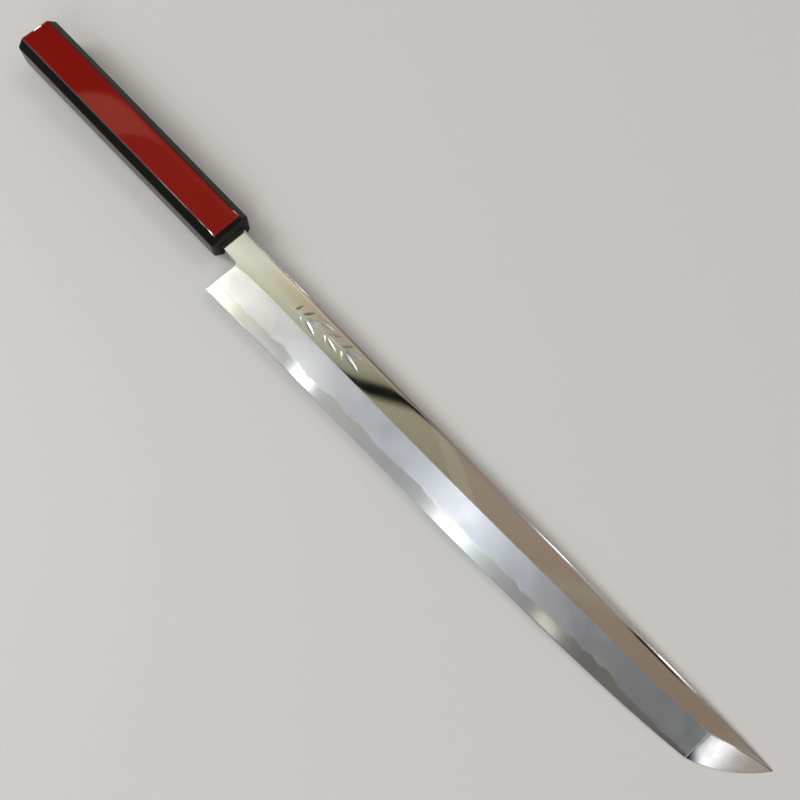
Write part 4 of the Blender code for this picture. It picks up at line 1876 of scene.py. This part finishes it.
@dataclass
class Studio:
    """Pale floor, soft sky, lamps and the camera, which stands where the photograph was taken.

    A glint lamp is given by the place where the knife mirrors it. Its sides are shares of its distance.
    """

    form: BladeForm
    lay: Lay
    floor_side: float = 8.0
    camera_place: Triple = (191.1 * MM, -94.4 * MM, 406.2 * MM)  # in the knife's axes, like its turn
    camera_turn: Triple = (16.127, -2.004, 46.511)  # degrees
    lens: float = 40.5
    sensor: float = 36.0
    nearest: float = 0.01  # where the camera's view begins
    lamp_distance: float = 0.9
    soft_boxes: tuple[Lamp, ...] = (
        Lamp("softbox_left", (-1.3, -0.9, 1.25), (1.1, 0.9), 3.6),
        Lamp("softbox_right", (0.9, -1.3, 1.2), (0.9, 0.9), 2.6),
        Lamp("softbox_back", (0.2, 1.0, 1.6), (1.2, 0.5), 1.6),
    )
    bevel_glints: tuple[tuple, ...] = (  # name, place along, share of the bevel, sides, radiance, colour
        ("lamp_middle", 0.1738, 0.88, (0.014, 0.06), 1.5, (0.96, 0.99, 1.0)),
        ("lamp_heel", 0.0765, 0.87, (0.026, 0.045), 4.6, (0.96, 0.98, 1.0)),
        ("lamp_corner", 0.020, 0.88, (0.05, 0.035), 0.65, WHITE),
        ("lamp_low", 0.050, 0.96, (0.075, 0.022), 0.35, (1.0, 0.99, 0.95)),
        ("lamp_point", 0.2345, 0.92, (0.046, 0.03), 0.85, (1.0, 0.97, 0.82)),
    )
    spine_glints: tuple[Triple, ...] = (  # place along, first side, radiance
        (0.0345, 0.014, 10.0), (0.2165, 0.060, 3.5), (0.286, 0.060, 3.5),
    )
    spine_glint_side: float = 0.10
    streak_place: Triple = (0.1575, -0.006, 0.003)
    streak_along: Triple = (-0.88, 0.47, 0.0)
    streak_sides: Point2 = (0.026, 0.2)
    streak_radiance: float = 0.05
    edge_glints: tuple[tuple, ...] = (  # name, place, the edge's line, turn of the normal, sides, radiance
        ("lamp_front_low", (-0.0034, -0.0149, 0.0112), ALONG, 22, (0.005, 0.4), 330.0),
        ("lamp_edge_near", (-0.0100, -0.0149, 0.0112), ALONG, 22, (0.010, 0.4), 25.0),
        ("lamp_edge_far", (-0.031, -0.0149, 0.0112), ALONG, 22, (0.060, 0.4), 11.0),
        ("lamp_front_high", (-0.0042, 0.0009, 0.0112), ALONG, -22, (0.003, 0.4), 110.0),
        ("lamp_butt", (-0.1522, -0.0050, 0.0105), ACROSS, -18, (0.014, 0.3), 45.0),
    )

    def set_camera(self) -> None:
        """Adds the camera."""
        lens = bpy.data.cameras.new("camera")
        lens.lens = self.lens
        lens.sensor_width = self.sensor
        lens.clip_start = self.nearest
        camera = bpy.data.objects.new("camera", lens)
        bpy.context.scene.collection.objects.link(camera)
        turn = Euler([math.radians(angle) for angle in self.camera_turn]).to_matrix().to_4x4()
        camera.matrix_world = self.lay.matrix @ Matrix.Translation(self.camera_place) @ turn
        bpy.context.scene.camera = camera

    def lay_floor(self) -> None:
        """Adds the floor."""
        bpy.ops.object.select_all(action="DESELECT")
        bpy.ops.mesh.primitive_plane_add(size=self.floor_side, location=(0, 0, 0))
        floor = bpy.context.object
        floor.name = "floor"
        floor.data.materials.append(FLOOR_PAPER.make(self.lay))
        floor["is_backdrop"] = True

    def mirrored(self, name: str, point: Vector, normal: Vector, size: Point2, radiance: float,
                 colour: Colour = WHITE, along: Sequence[float] = ACROSS, axis: Vector | None = None) -> Lamp:
        """Makes the lamp that the camera sees mirrored at a place of the knife.

        Args:
            name: The lamp's name.
            point: The place, in the knife's axes.
            normal: The surface's normal there, in the knife's axes.
            size: The lamp's sides as shares of its distance.
            radiance: Its brightness against the sky's.
            colour: Its colour.
            along: The direction of its second side.
            axis: For a rounded edge, its line in the knife's axes. The second side is then square to it.

        Returns:
            The lamp.
        """
        turn = self.lay.matrix.to_3x3()
        eye, spot = (self.lay.matrix @ Vector(place) for place in (self.camera_place, point))
        place = spot + (spot - eye).normalized().reflect((turn @ normal).normalized()) * self.lamp_distance
        sides = tuple(side * self.lamp_distance for side in size)
        if axis is not None:
            along = (turn @ axis).cross(place - spot)
        return Lamp(name, place, sides, radiance, colour, spot, along, only_mirrored=True)

    def glint_lamps(self) -> Iterator[Lamp]:
        """Makes the small lamps that the polished faces mirror.

        Yields:
            Each lamp.
        """
        form = self.form
        for name, x, share, size, radiance, colour in self.bevel_glints:
            place, normal = form.bevel_place(x, share), form.bevel_normal(x, share)
            yield self.mirrored(name, place, normal, size, radiance, colour)
        for index, (x, side, radiance) in enumerate(self.spine_glints):
            point = Vector((x, -form.spine_width / 2, form.thickness(x) - form.spine_facet(x)[1] / 2))
            size = (side, self.spine_glint_side)
            yield self.mirrored(f"lamp_spine_{index}", point, form.spine_normal(x), size, radiance)
        yield self.mirrored("lamp_streak", Vector(self.streak_place), UPWARD, self.streak_sides,
                            self.streak_radiance, along=self.streak_along)
        for name, point, line, angle, size, radiance in self.edge_glints:
            axis = Vector(line)
            normal = Matrix.Rotation(math.radians(angle), 3, axis) @ UPWARD
            yield self.mirrored(name, Vector(point), normal, size, radiance, axis=axis)

    def build(self) -> None:
        """Sets the whole studio."""
        self.set_camera()
        self.lay_floor()
        Sky().paint()
        for lamp in (*self.soft_boxes, *self.glint_lamps()):
            lamp.hang()
        bpy.context.scene.view_settings.view_transform = "Standard"


def main() -> None:
    """Builds blade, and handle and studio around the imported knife."""
    logging.basicConfig(level=logging.INFO, format="%(name)s: %(message)s")
    form = BladeForm()
    lay = Lay.from_frame(form.length, form.tip_thickness)
    blade = Blade(form)
    blade.build(lay)
    Handle(blade).build(lay)
    Studio(form, lay).build()
    boxes = {"cad": CAD_BOX, "visual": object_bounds()}
    {name: [list(corner) for corner in box] for name, box in boxes.items()}


if __name__ == "__main__":
    main()
